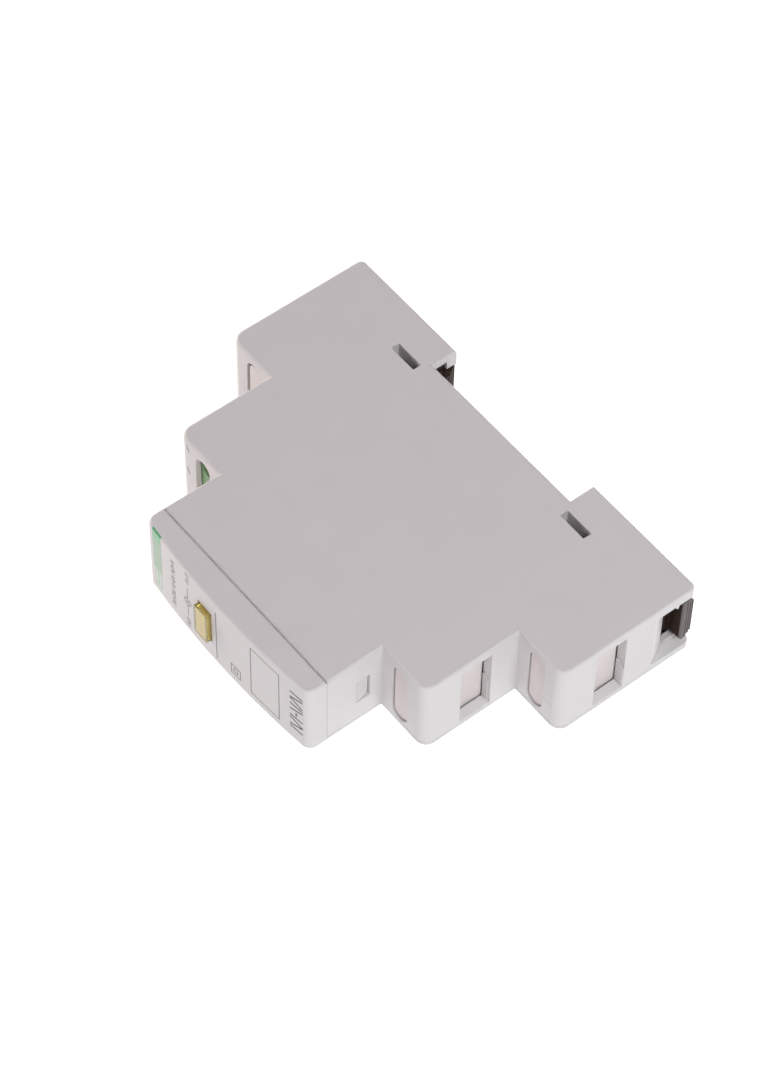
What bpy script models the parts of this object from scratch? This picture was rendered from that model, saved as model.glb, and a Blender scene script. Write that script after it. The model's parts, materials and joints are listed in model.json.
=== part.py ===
"""A one-module indicator lamp for a DIN rail, lying on its left side face.

All driving sizes are in millimetres. X runs along the module's height, from its top end (-X) to its
bottom end (+X). Depth is counted from the front plate's crown towards the rail, which is +Y. Z is the
module's width, from the face it lies on (0) up to the other side face (WIDTH).
"""

import math

import bmesh
import bpy

MM = 0.001
GAP = 0.3

# Casing profile
WIDTH = 17.5
NOSE_X = 22.4
MID_X = 33.8
LOW_X = 45.0
RECESS_X = 18.4
MID_LEDGE = 16.6
LOW_LEDGE = 36.2
RAIL_SEAT = 60.1
BACK = 65.3
STEP_CORNER = 2.2
BACK_CORNER = 1.2
EDGE_ROUND = 0.5

# Casing walls
WALL = 1.5
END_WALL = 2.0
LEDGE_WALL = 1.2
SKIN_Z = WIDTH - WALL
RIB = 1.0
RIB_LOW_Z = WALL + GAP

# Side cover
COVER_EDGE = 0.9
SHELL_LOW_Z = COVER_EDGE + GAP

# Front cover and lens
FRONT_RADIUS = 190.0
FRONT_CORNER = 1.8
FRONT_INNER = 2.2
SEAM = 5.05
LENS_X = -4.5
LENS_SIZE_X = 3.6
LENS_SIZE_Z = 7.8
LENS_RAISE = 0.9
LENS_FLANGE = 1.1
SLOT_X = (19.8, 25.9)
SLOT_DEPTH = (56.7, 58.4)
HOOK_WINDOW = (11.25, 14.15)
HOOK_WINDOW_Z = (5.6, 11.6)

# Terminal bays, measured from the step wall and from the ledge
PORT_OFFSET = 2.7
PORT_WIDTH = 4.0
PORT_Z = (1.6, 15.6)
WINDOW_DEPTH = (7.6, 14.0)
WINDOW_Z = (1.6, 15.6)
BAY_END = 15.6
BLANK_THICK = 1.2

# Terminal block, at the top end's front bay
POLE_PITCH = 6.8
BLOCK_X = (-31.5, -23.7)
BLOCK_Z = (1.9, 15.6)
CELL_HALF = 2.65
WELL_RADIUS = 2.1
HEAD_RADIUS = 1.8
SHANK_RADIUS = 1.3
HEAD_DEPTH = (18.5, 19.8)
SHANK_END = 24.8
CAGE_DEPTH = (23.4, 30.0)
CAGE_WALL = 0.75
WIRE_DEPTH = (24.8, 29.6)
CONTACT_DEPTH = (25.1, 25.9)
CONTACT_HALF_Z = 1.2
RISER_HALF_X = 0.4
RISERS = (-18.0, -15.2)

# Circuit board
BOARD_Z = (13.4, 15.0)
BOARD_X = 20.4
BOARD_DEPTH = (9.3, 56.0)
BOARD_PEGS = [(-15.0, 14.0), (15.0, 14.0), (-15.0, 52.0), (15.0, 52.0)]
LEAD_TOP = BOARD_Z[1] + 0.5
LEAD_RADIUS = 0.3
BODY_TOP = BOARD_Z[0] - GAP
LED_DEPTH = (3.9, 8.6)
LED_RADIUS = 1.5

# Rail latches
LATCH_TRAVEL = 4.0
LIP_DEPTH = 63.15
LIP_Z = (3.9, 14.0)
TONGUE_Z = (4.2, 13.7)
SCOOP_Z = (2.0, 15.1)
TAB_SILL_Z = 3.2
SCOOP_START = 56.4
STOP_X = (30.0, 32.0)
STOP_Z = (7.2, 10.3)

COVER_PEGS = [(-27.5, 40.0), (27.5, 40.0), (-37.0, 54.8), (37.0, 54.8)]

MID_Z = WIDTH / 2
CENTRE_DEPTH = (BACK - LENS_RAISE) / 2
PORT_CENTRE_X = PORT_OFFSET + PORT_WIDTH / 2
POLES = (MID_Z + POLE_PITCH / 2, MID_Z - POLE_PITCH / 2)
SCREW_X = -(NOSE_X + PORT_CENTRE_X)


# ---------------------------------------------------------------- shapes


def clear_scene():
    for obj in list(bpy.data.objects):
        bpy.data.objects.remove(obj, do_unlink=True)


def material(name, colour, roughness=0.5, metallic=0.0):
    made = bpy.data.materials.new(name)
    made.use_nodes = True
    shader = made.node_tree.nodes["Principled BSDF"]
    shader.inputs["Base Color"].default_value = (*colour, 1.0)
    shader.inputs["Roughness"].default_value = roughness
    shader.inputs["Metallic"].default_value = metallic
    made.diffuse_color = (*colour, 1.0)
    return made


def world(x, depth, z):
    """A place in metres from its place in the casing's millimetres."""
    return (x * MM, (depth - CENTRE_DEPTH) * MM, z * MM)


def place_on(axis, first, second, along):
    """An outline's point in casing coordinates: the outline's plane is square to the axis."""
    if axis == "z":
        return world(first, second, along)
    if axis == "x":
        return world(along, first, second)
    return world(first, along, second)


def add_prism(bm, outline, low, high, axis="z", round_low=0.0, round_high=0.0):
    """A closed prism on an outline, with its rim edges rounded by the given radii."""
    start = [bm.verts.new(place_on(axis, a, b, low)) for a, b in outline]
    end = [bm.verts.new(place_on(axis, a, b, high)) for a, b in outline]
    count = len(outline)
    faces = [bm.faces.new(start), bm.faces.new(end)]
    for i in range(count):
        j = (i + 1) % count
        faces.append(bm.faces.new((start[i], start[j], end[j], end[i])))
    bmesh.ops.recalc_face_normals(bm, faces=faces)
    for face, radius in ((faces[0], round_low), (faces[1], round_high)):
        if radius:
            bmesh.ops.bevel(
                bm, geom=list(face.edges), offset=radius * MM, segments=3,
                affect="EDGES", profile=0.5,
            )


def add_box(bm, xs, depths, zs):
    outline = [(xs[0], depths[0]), (xs[1], depths[0]), (xs[1], depths[1]), (xs[0], depths[1])]
    add_prism(bm, outline, zs[0], zs[1])


def circle(centre, radius, count=16):
    turns = [2 * math.pi * (i + 0.5) / count for i in range(count)]
    return [(centre[0] + radius * math.cos(t), centre[1] + radius * math.sin(t)) for t in turns]


def obround(centre_x, width, low, high, count=7):
    """A slot's outline: straight sides and a half circle at each end."""
    radius = width / 2
    outline = []
    for end, start_turn in ((high - radius, 0.0), (low + radius, math.pi)):
        for i in range(count):
            turn = start_turn + math.pi * i / (count - 1)
            outline.append((centre_x + radius * math.cos(turn), end + radius * math.sin(turn)))
    return outline


def rounded(corners, steps=4):
    """An outline whose corners (x, y, radius) are replaced by arcs."""
    outline = []
    count = len(corners)
    for i in range(count):
        x, y, radius = corners[i]
        if not radius:
            outline.append((x, y))
            continue
        before = unit(corners[i - 1], corners[i])
        after = unit(corners[i], corners[(i + 1) % count])
        start = (x - before[0] * radius, y - before[1] * radius)
        centre = (start[0] + after[0] * radius, start[1] + after[1] * radius)
        for k in range(steps + 1):
            turn = math.pi / 2 * k / steps
            outline.append(
                tuple(
                    centre[n] - after[n] * radius * math.cos(turn) + before[n] * radius * math.sin(turn)
                    for n in (0, 1)
                )
            )
    return outline


def unit(start, end):
    length = math.dist(start[:2], end[:2])
    return ((end[0] - start[0]) / length, (end[1] - start[1]) / length)


def mirrored(half):
    """Both halves of an outline that is given on the +X side."""
    return half + [(-corner[0], *corner[1:]) for corner in reversed(half)]


def sided(side, low, high):
    """A range of X on the +X or the -X side of the casing."""
    return (low, high) if side > 0 else (-high, -low)


def make_object(name, bm, surface=None, origin=None):
    """The object of a bmesh that is in world coordinates, with its origin moved to the given place."""
    if origin:
        bmesh.ops.translate(bm, verts=bm.verts, vec=[-value for value in origin])
    mesh = bpy.data.meshes.new(name)
    bm.to_mesh(mesh)
    bm.free()
    obj = bpy.data.objects.new(name, mesh)
    obj.location = origin or (0, 0, 0)
    bpy.context.scene.collection.objects.link(obj)
    if surface:
        mesh.materials.append(surface)
        mesh.shade_smooth()
        mesh.set_sharp_from_angle(angle=math.radians(35))
    return obj


def shape(obj, operation, build):
    """Adds to an object, or cuts from it, the solids that a function puts in a bmesh."""
    bm = bmesh.new()
    build(bm)
    helper = make_object(f"{obj.name}.{operation.lower()}.{len(obj.modifiers)}", bm)
    helper.hide_render = True
    helper.display_type = "WIRE"
    helper.hide_set(True)
    modifier = obj.modifiers.new(operation.title(), "BOOLEAN")
    modifier.operation = operation
    modifier.solver = "EXACT"
    modifier.object = helper


def start(name, surface, build, origin=None):
    bm = bmesh.new()
    build(bm)
    return make_object(name, bm, surface, origin)


# ---------------------------------------------------------------- casing


def casing_outline():
    """The casing's profile behind the front cover."""
    half = [
        (NOSE_X, SEAM + GAP, 0),
        (NOSE_X, MID_LEDGE, 0),
        (MID_X, MID_LEDGE, STEP_CORNER),
        (MID_X, LOW_LEDGE, 0),
        (LOW_X, LOW_LEDGE, STEP_CORNER),
        (LOW_X, BACK, BACK_CORNER),
        (RECESS_X, BACK, 0),
        (RECESS_X, RAIL_SEAT, 0),
    ]
    return rounded(mirrored(half))


def cavity_outline(front, shrink=0.0):
    """The inside of the casing, made smaller all round by the given amount."""
    half = [
        (NOSE_X - WALL - shrink, front, 0),
        (NOSE_X - WALL - shrink, MID_LEDGE + LEDGE_WALL + shrink, 0),
        (MID_X - END_WALL - shrink, MID_LEDGE + LEDGE_WALL + shrink, 0),
        (MID_X - END_WALL - shrink, LOW_LEDGE + LEDGE_WALL + shrink, 0),
        (LOW_X - END_WALL - shrink, LOW_LEDGE + LEDGE_WALL + shrink, 0),
        (LOW_X - END_WALL - shrink, RAIL_SEAT - WALL - shrink, 0),
    ]
    return rounded(mirrored(half))


def bays():
    """Each terminal bay as (side, step wall, outer wall, ledge)."""
    steps = ((NOSE_X, MID_X, MID_LEDGE), (MID_X, LOW_X, LOW_LEDGE))
    return [(side, *step) for side in (-1, 1) for step in steps]


def add_bay_ribs(bm):
    """A partition beside each terminal bay and a rib behind it, hung from the side face's skin."""
    for side, step_x, _, ledge in bays():
        inner = step_x + 0.8
        depths = (ledge + LEDGE_WALL - 0.4, ledge + BAY_END + RIB)
        add_box(bm, sided(side, inner - RIB, inner), depths, (RIB_LOW_Z, SKIN_Z + 0.4))


def add_bay_backs(bm):
    for side, step_x, outer_x, ledge in bays():
        xs = sided(side, step_x + 0.4, outer_x - END_WALL + 0.4)
        depths = (ledge + BAY_END, ledge + BAY_END + RIB)
        add_box(bm, xs, depths, (RIB_LOW_Z + 0.2, SKIN_Z + 0.5))


def add_scoop_blocks(bm):
    """Thick corners behind the finger scoops."""
    for side in (-1, 1):
        xs = sided(side, LOW_X - END_WALL - 2.2, LOW_X - END_WALL + 0.5)
        depths = (SCOOP_START - 1.5, RAIL_SEAT - WALL + 0.5)
        add_box(bm, xs, depths, (SHELL_LOW_Z + 0.5, SKIN_Z + 0.5))


def add_peg_bosses(bm):
    for place in COVER_PEGS:
        add_prism(bm, circle(place, 2.4), RIB_LOW_Z, SKIN_Z + 0.5)
    for place in BOARD_PEGS:
        add_prism(bm, circle(place, 2.0), BOARD_Z[1] + GAP, SKIN_Z + 0.5)


def add_board_pins(bm):
    for place in BOARD_PEGS:
        add_prism(bm, circle(place, 0.9, 12), BOARD_Z[0] + 0.1, BOARD_Z[1] + 0.8)


def add_slot_collars(bm):
    """Walls that reach down round each side slot, over the latch guide."""
    for side in (-1, 1):
        xs = sided(side, SLOT_X[0] - 0.7, SLOT_X[1] + 0.7)
        depths = (SLOT_DEPTH[0] - 0.45, RAIL_SEAT - WALL + 0.3)
        add_box(bm, xs, depths, (SKIN_Z - 3.4, SKIN_Z + 0.3))


def cut_peg_holes(bm):
    for place in COVER_PEGS:
        add_prism(bm, circle(place, 1.3), 0.0, 9.0)


def cut_ports_and_windows(bm):
    """The screwdriver port in each ledge and the wire window in each outer wall."""
    for side, step_x, outer_x, ledge in bays():
        port = obround(side * (step_x + PORT_CENTRE_X), PORT_WIDTH, *PORT_Z)
        add_prism(bm, port, ledge - 1.0, ledge + LEDGE_WALL + 0.5, axis="y")
        window = (ledge + WINDOW_DEPTH[0], ledge + WINDOW_DEPTH[1])
        add_box(bm, sided(side, outer_x - END_WALL - 0.5, outer_x + 1.0), window, WINDOW_Z)


def cut_hook_windows(bm):
    for side in (-1, 1):
        add_box(bm, sided(side, NOSE_X - WALL - 1.0, NOSE_X + 1.0), HOOK_WINDOW, HOOK_WINDOW_Z)


def cut_contact_notch(bm):
    """The way through the partition for the terminal block's contacts."""
    depths = (CONTACT_DEPTH[0] - 0.7, CONTACT_DEPTH[1] + 0.7)
    zs = (POLES[1] - CONTACT_HALF_Z - 0.75, POLES[0] + CONTACT_HALF_Z + 0.75)
    add_box(bm, (-NOSE_X - 1.5, -NOSE_X + 0.9), depths, zs)


def cut_side_slots(bm):
    """Two slots through the side face's skin, one over each latch guide."""
    for side in (-1, 1):
        add_box(bm, sided(side, *SLOT_X), SLOT_DEPTH, (SKIN_Z - 4.0, WIDTH + 1.0))


def cut_latch_guides(bm):
    """The wide part of each latch's T-shaped guide, open at the recess and at the end wall."""
    for side in (-1, 1):
        xs = sided(side, RECESS_X - 1.0, LOW_X - END_WALL)
        add_box(bm, xs, (RAIL_SEAT, LIP_DEPTH), (0.0, SKIN_Z))


def cut_latch_slots(bm):
    """The narrow part of each guide, behind which the latch's flange is held."""
    for side in (-1, 1):
        xs = sided(side, RECESS_X - 1.0, LOW_X - END_WALL)
        add_box(bm, xs, (LIP_DEPTH - 0.5, BACK + 1.0), (0.0, LIP_Z[1]))


def cut_end_openings(bm):
    """Where each latch's tab reaches through the end wall."""
    for side in (-1, 1):
        xs = sided(side, LOW_X - END_WALL - 0.4, LOW_X + 1.0)
        add_box(bm, xs, (RAIL_SEAT, BACK + 1.0), SCOOP_Z)


def cut_scoops(bm):
    """A finger ramp that leads down the end wall to each latch's tab."""
    depth = END_WALL
    slope = depth / (RAIL_SEAT - SCOOP_START)
    over = 0.5
    for side in (-1, 1):
        outline = [
            (side * (LOW_X + over), SCOOP_START - over / slope),
            (side * (LOW_X - depth), RAIL_SEAT),
            (side * (LOW_X - depth), RAIL_SEAT + over),
            (side * (LOW_X + over), RAIL_SEAT + over),
        ]
        add_prism(bm, outline, *SCOOP_Z)


def add_latch_stops(bm):
    """A block in each guide that the latch's pocket runs against at both ends of its travel."""
    for side in (-1, 1):
        add_box(bm, sided(side, *STOP_X), (RAIL_SEAT - 0.5, LIP_DEPTH - 0.65), STOP_Z)


def add_opening_sills(bm):
    """Closes each end opening below the latch's tab."""
    for side in (-1, 1):
        xs = sided(side, LOW_X - END_WALL - 1.1, LOW_X - END_WALL + 0.2)
        add_box(bm, xs, (RAIL_SEAT - 0.3, BACK - 0.3), (RIB_LOW_Z, TAB_SILL_Z))


def make_main_shell(surface):
    def body(bm):
        add_prism(bm, casing_outline(), SHELL_LOW_Z, WIDTH, round_high=EDGE_ROUND)

    def cavity(bm):
        add_prism(bm, cavity_outline(SEAM - 1.0), -1.0, SKIN_Z)

    shell = start("case_main_shell", surface, body)
    shape(shell, "DIFFERENCE", cavity)
    for build in (add_bay_ribs, add_bay_backs, add_scoop_blocks, add_peg_bosses, add_board_pins):
        shape(shell, "UNION", build)
    shape(shell, "UNION", add_slot_collars)
    for build in (cut_peg_holes, cut_ports_and_windows, cut_hook_windows, cut_contact_notch):
        shape(shell, "DIFFERENCE", build)
    for build in (cut_side_slots, cut_latch_guides, cut_latch_slots, cut_end_openings, cut_scoops):
        shape(shell, "DIFFERENCE", build)
    shape(shell, "UNION", add_latch_stops)
    shape(shell, "UNION", add_opening_sills)


def make_side_cover(surface):
    """The flat cover on the lower side: its edge closes the shell and its pegs enter the bosses."""

    def plate(bm):
        add_prism(bm, casing_outline(), 0.0, COVER_EDGE, round_low=EDGE_ROUND)

    def step(bm):
        add_prism(bm, cavity_outline(SEAM + GAP, GAP), 0.4, WALL)

    def pegs(bm):
        for place in COVER_PEGS:
            add_prism(bm, circle(place, 1.0, 12), 1.0, 8.0)
        for place in BOARD_PEGS:
            add_prism(bm, circle(place, 1.8), 1.0, BOARD_Z[0] - GAP)

    def lips(bm):
        """The lower half of each latch guide's lip, which the shell leaves open."""
        for side in (-1, 1):
            xs = sided(side, RECESS_X, LOW_X - END_WALL - 1.1 - GAP)
            add_box(bm, xs, (LIP_DEPTH + GAP, BACK), (0.5, LIP_Z[0]))

    cover = start("case_side_cover", surface, plate)
    for build in (step, pegs, lips):
        shape(cover, "UNION", build)


def front_outline():
    """The front cover's profile: a shallow arc between two round corners."""
    corner_x = NOSE_X - FRONT_CORNER
    corner_depth = front_depth(corner_x) + FRONT_CORNER
    steps = 4
    corner = []
    for i in range(steps + 1):
        turn = math.pi / 2 * i / steps
        corner.append(
            (
                corner_x + FRONT_CORNER * math.cos(turn),
                corner_depth - FRONT_CORNER * math.sin(turn),
            )
        )
    points = 7
    crown = [corner_x * (1 - 2 * i / points) for i in range(1, points)]
    return (
        [(NOSE_X, SEAM)]
        + corner
        + [(x, front_depth(x)) for x in crown]
        + [(-x, depth) for x, depth in reversed(corner)]
        + [(-NOSE_X, SEAM)]
    )


def front_depth(x):
    """How far the curved front lies behind its crown."""
    return x * x / (2 * FRONT_RADIUS)


def make_front_cover(surface):
    def cap(bm):
        add_prism(bm, front_outline(), 0.0, WIDTH, round_low=EDGE_ROUND, round_high=EDGE_ROUND)

    def inside(bm):
        inner = NOSE_X - WALL
        add_box(bm, (-inner, inner), (FRONT_INNER, SEAM + 1.0), (WALL, SKIN_Z))

    def lens_hole(bm):
        half_x = LENS_SIZE_X / 2 + 0.2
        half_z = LENS_SIZE_Z / 2 + 0.2
        xs = (LENS_X - half_x, LENS_X + half_x)
        add_box(bm, xs, (-1.0, FRONT_INNER + 1.0), (MID_Z - half_z, MID_Z + half_z))

    def legs(bm):
        """Two snap legs: a wedge at each one's end fills the window in the nose's end wall."""
        outer = NOSE_X - WALL - GAP
        root = FRONT_INNER - 0.4
        catch = HOOK_WINDOW[0] + 0.2
        tip = HOOK_WINDOW[1] - 0.2
        for side in (-1, 1):
            outline = [
                (outer - 1.2, root),
                (outer, root),
                (outer, catch),
                (NOSE_X - 0.1, catch),
                (NOSE_X - 0.8, tip),
                (outer, tip + 0.3),
                (outer - 1.2, tip + 0.3),
            ]
            zs = (HOOK_WINDOW_Z[0] + 0.2, HOOK_WINDOW_Z[1] - 0.2)
            add_prism(bm, [(side * x, depth) for x, depth in outline], *zs)

    cover = start("front_cover", surface, cap)
    shape(cover, "DIFFERENCE", inside)
    shape(cover, "DIFFERENCE", lens_hole)
    shape(cover, "UNION", legs)


def make_lens(surface):
    half_x = LENS_SIZE_X / 2
    half_z = LENS_SIZE_Z / 2

    def window(bm):
        outline = [
            (LENS_X - half_x, MID_Z - half_z),
            (LENS_X + half_x, MID_Z - half_z),
            (LENS_X + half_x, MID_Z + half_z),
            (LENS_X - half_x, MID_Z + half_z),
        ]
        add_prism(bm, outline, -LENS_RAISE, FRONT_INNER + 0.8, axis="y", round_low=0.35)

    def flange(bm):
        xs = (LENS_X - half_x - LENS_FLANGE, LENS_X + half_x + LENS_FLANGE)
        zs = (MID_Z - half_z - LENS_FLANGE, MID_Z + half_z + LENS_FLANGE)
        add_box(bm, xs, (FRONT_INNER + GAP, FRONT_INNER + 1.3), zs)

    lens = start("indicator_lens", surface, window)
    shape(lens, "UNION", flange)


# ---------------------------------------------------------------- circuit board and its parts


def add_lead(bm, x, depth, low):
    add_prism(bm, circle((x, depth), LEAD_RADIUS, 8), low, LEAD_TOP)


def component_leads():
    """Every round lead that goes through the board, as (x, depth)."""
    return {
        "led": [(LENS_X - 1.27, 13.6), (LENS_X + 1.27, 13.6)],
        "dropper_capacitor": [(-11.5, 38.0), (-1.5, 38.0)],
        "bridge_rectifier": [(4.0, 30.2), (6.5, 30.2), (9.0, 30.2), (11.5, 30.2)],
        "smoothing_capacitor": [(8.75, 21.0), (11.25, 21.0)],
        "series_resistor": [(-11.0, 46.5), (3.0, 46.5)],
        "bleed_resistor": [(5.5, 39.0), (15.5, 39.0)],
    }


def make_board(surface):
    def plate(bm):
        add_box(bm, (-BOARD_X, BOARD_X), BOARD_DEPTH, BOARD_Z)

    def holes(bm):
        low, high = BOARD_Z[0] - 0.5, BOARD_Z[1] + 0.5
        for places in component_leads().values():
            for place in places:
                add_prism(bm, circle(place, LEAD_RADIUS + GAP, 8), low, high)
        for place in BOARD_PEGS:
            add_prism(bm, circle(place, 1.2, 12), low, high)
        for riser in RISERS:
            xs = (riser - RISER_HALF_X - GAP, riser + RISER_HALF_X + GAP)
            add_box(bm, xs, (CONTACT_DEPTH[0] - GAP, CONTACT_DEPTH[1] + GAP), (low, high))

    board = start("circuit_board", surface, plate)
    shape(board, "DIFFERENCE", holes)


def make_radial(name, surface, body, low):
    """A part whose leads go straight up from its body into the board."""
    obj = start(name, surface, body)

    def leads(bm):
        for x, depth in component_leads()[name]:
            add_lead(bm, x, depth, low)

    shape(obj, "UNION", leads)


def make_axial(name, surface, radius, length):
    """A resistor that lies under the board, with its leads bent up at both ends."""
    (first_x, depth), (last_x, _) = component_leads()[name]
    centre_x = (first_x + last_x) / 2
    height = BODY_TOP - radius

    def body(bm):
        ends = (centre_x - length / 2, centre_x + length / 2)
        outline = circle((depth, height), radius)
        add_prism(bm, outline, *ends, axis="x", round_low=0.5, round_high=0.5)

    def wire(bm):
        add_prism(bm, circle((depth, height), LEAD_RADIUS, 8), first_x, last_x, axis="x")

    def risers(bm):
        for x in (first_x, last_x):
            add_lead(bm, x, depth, height - 0.35)

    obj = start(name, surface, body)
    shape(obj, "UNION", wire)
    shape(obj, "UNION", risers)


def make_components(film, case, can, series, bleed):
    def film_body(bm):
        add_box(bm, (-13.0, 0.0), (34.5, 41.5), (3.0, BODY_TOP))

    def bridge_body(bm):
        add_box(bm, (2.6, 12.9), (28.8, 31.6), (4.6, BODY_TOP))

    def can_body(bm):
        outline = circle((10.0, 21.0), 3.15, 20)
        add_prism(bm, outline, 4.0, BODY_TOP, round_low=0.4, round_high=0.4)

    make_radial("dropper_capacitor", film, film_body, 10.0)
    make_radial("bridge_rectifier", case, bridge_body, 10.0)
    make_radial("smoothing_capacitor", can, can_body, 10.0)
    make_axial("series_resistor", series, 1.9, 10.5)
    make_axial("bleed_resistor", bleed, 1.2, 6.5)


def make_led(surface):
    """A 3 mm LED behind the lens, with its two leads through the holder and up into the board."""
    places = component_leads()["led"]

    def body(bm):
        steps = 4
        turns = [math.pi / 2 * i / steps for i in range(1, steps + 1)]
        rings = [
            (LED_RADIUS * math.sin(turn), LED_DEPTH[0] + LED_RADIUS * (1 - math.cos(turn)))
            for turn in turns
        ]
        rim = LED_RADIUS + 0.4
        rings += [(LED_RADIUS, LED_DEPTH[1] - 1.0), (rim, LED_DEPTH[1] - 1.0), (rim, LED_DEPTH[1])]
        turned(bm, rings, LED_DEPTH[0])

    def legs(bm):
        for x, depth in places:
            outline = circle((x, MID_Z), LEAD_RADIUS, 8)
            add_prism(bm, outline, LED_DEPTH[1] - 0.5, depth, axis="y")

    def risers(bm):
        for x, depth in places:
            add_lead(bm, x, depth, MID_Z - 0.35)

    led = start("led", surface, body)
    shape(led, "UNION", legs)
    shape(led, "UNION", risers)


def turned(bm, rings, tip, count=16):
    """A round piece about the lens's axis: a tip, then rings of (radius, depth), then a cap."""
    loops = []
    for radius, depth in rings:
        ring = circle((LENS_X, MID_Z), radius, count)
        loops.append([bm.verts.new(world(x, depth, z)) for x, z in ring])
    point = bm.verts.new(world(LENS_X, tip, MID_Z))
    for i in range(count):
        j = (i + 1) % count
        bm.faces.new((point, loops[0][i], loops[0][j]))
        for near, far in zip(loops, loops[1:]):
            bm.faces.new((near[i], far[i], far[j], near[j]))
    bm.faces.new(loops[-1])
    bmesh.ops.recalc_face_normals(bm, faces=bm.faces)


def make_led_holder(surface):
    """The spacer that holds the LED square behind the lens."""

    def block(bm):
        add_box(bm, (LENS_X - 2.6, LENS_X + 2.6), (LED_DEPTH[1] + GAP, 12.6), (6.6, BODY_TOP))

    def holes(bm):
        for x, _ in component_leads()["led"]:
            outline = circle((x, MID_Z), LEAD_RADIUS + GAP, 8)
            add_prism(bm, outline, LED_DEPTH[1] - 1.0, 14.0, axis="y")

    holder = start("led_holder", surface, block)
    shape(holder, "DIFFERENCE", holes)


# ---------------------------------------------------------------- terminals


def make_terminal_block(surface):
    """The two-pole block: a screw well, a cage cell and a wire entry at each pole."""

    def body(bm):
        depths = (MID_LEDGE + LEDGE_WALL + 0.2, MID_LEDGE + BAY_END - 0.5)
        add_box(bm, BLOCK_X, depths, BLOCK_Z)

    def cells(bm):
        for pole in POLES:
            xs = (SCREW_X - CELL_HALF, SCREW_X + CELL_HALF)
            depths = (HEAD_DEPTH[1] + GAP, MID_LEDGE + BAY_END + 0.8)
            add_box(bm, xs, depths, (pole - CELL_HALF, pole + CELL_HALF))

    def wells(bm):
        for pole in POLES:
            outline = circle((SCREW_X, pole), WELL_RADIUS, 20)
            add_prism(bm, outline, MID_LEDGE, HEAD_DEPTH[1] + 1.2, axis="y")

    def entries(bm):
        for pole in POLES:
            add_box(bm, (BLOCK_X[0] - 1.0, SCREW_X), WIRE_DEPTH, (pole - 2.2, pole + 2.2))

    def contact_slots(bm):
        for pole in POLES:
            depths = (CONTACT_DEPTH[0] - GAP, CONTACT_DEPTH[1] + GAP)
            zs = (pole - CONTACT_HALF_Z - GAP, pole + CONTACT_HALF_Z + GAP)
            add_box(bm, (SCREW_X, BLOCK_X[1] + 1.0), depths, zs)

    block = start("terminal_block", surface, body)
    for build in (cells, wells, entries, contact_slots):
        shape(block, "DIFFERENCE", build)


def make_screw(number, pole, surface):
    """A slotted clamp screw, with its head towards the port in the ledge."""
    origin = world(SCREW_X, HEAD_DEPTH[1], pole)
    centre = (SCREW_X, pole)

    def shank(bm):
        outline = circle(centre, SHANK_RADIUS)
        add_prism(bm, outline, HEAD_DEPTH[1] - 0.4, SHANK_END, axis="y", round_high=0.3)

    def head(bm):
        add_prism(bm, circle(centre, HEAD_RADIUS, 20), *HEAD_DEPTH, axis="y", round_low=0.2)

    def slot(bm):
        half = 0.35
        depths = (HEAD_DEPTH[0] - 1.0, HEAD_DEPTH[0] + 0.7)
        add_box(bm, (SCREW_X - half, SCREW_X + half), depths, (pole - 3.0, pole + 3.0))

    screw = start(f"terminal_screw_{number}", surface, shank, origin)
    shape(screw, "UNION", head)
    shape(screw, "DIFFERENCE", slot)


def make_cage(number, pole, surface):
    """A clamp cage: the screw draws it towards the front, past the fixed contact."""
    origin = world(SCREW_X, CAGE_DEPTH[0], pole)
    half = CELL_HALF - GAP

    def body(bm):
        add_box(bm, (SCREW_X - half, SCREW_X + half), CAGE_DEPTH, (pole - half, pole + half))

    def wire_way(bm):
        depths = (CAGE_DEPTH[0] + CAGE_WALL + 0.65, CAGE_DEPTH[1] - CAGE_WALL)
        inner = half - CAGE_WALL
        add_box(bm, (SCREW_X - 4.0, SCREW_X + 4.0), depths, (pole - inner, pole + inner))

    def thread_hole(bm):
        outline = circle((SCREW_X, pole), SHANK_RADIUS + GAP)
        add_prism(bm, outline, CAGE_DEPTH[0] - 1.0, CAGE_DEPTH[0] + 2.6, axis="y")

    cage = start(f"clamp_cage_{number}", surface, body, origin)
    shape(cage, "DIFFERENCE", wire_way)
    shape(cage, "DIFFERENCE", thread_hole)


def make_contact(number, pole, riser, surface):
    """A contact strip from inside the cage to a riser that is soldered into the board."""

    def bar(bm):
        zs = (pole - CONTACT_HALF_Z, pole + CONTACT_HALF_Z)
        add_box(bm, (SCREW_X - 2.2, riser + RISER_HALF_X), CONTACT_DEPTH, zs)

    def post(bm):
        add_box(bm, (riser - RISER_HALF_X, riser + RISER_HALF_X), CONTACT_DEPTH, (pole, LEAD_TOP))

    contact = start(f"terminal_contact_{number}", surface, bar)
    shape(contact, "UNION", post)


def make_blank(name, side, step_x, outer_x, ledge, surface):
    """An L-shaped filler for an unused bay: one leg closes the port and the other the wire window."""
    front = ledge + LEDGE_WALL + GAP
    inner = step_x + 1.3
    outer = outer_x - END_WALL - 0.2
    end = ledge + WINDOW_DEPTH[1] - 0.25
    zs = (PORT_Z[0] + 0.5, PORT_Z[1] - GAP)

    def corner(bm):
        outline = [
            (inner, front),
            (outer, front),
            (outer, end),
            (outer - BLANK_THICK, end),
            (outer - BLANK_THICK, front + BLANK_THICK),
            (inner, front + BLANK_THICK),
        ]
        add_prism(bm, [(side * x, depth) for x, depth in outline], *zs)

    def pad(bm):
        """The raised pad stands in the port, a little below the ledge."""
        outline = obround(side * (step_x + PORT_CENTRE_X), PORT_WIDTH - 2 * GAP, *zs)
        add_prism(bm, outline, ledge + 0.8, front + 0.5, axis="y")

    blank = start(name, surface, corner)
    shape(blank, "UNION", pad)


# ---------------------------------------------------------------- rail latches


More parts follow.
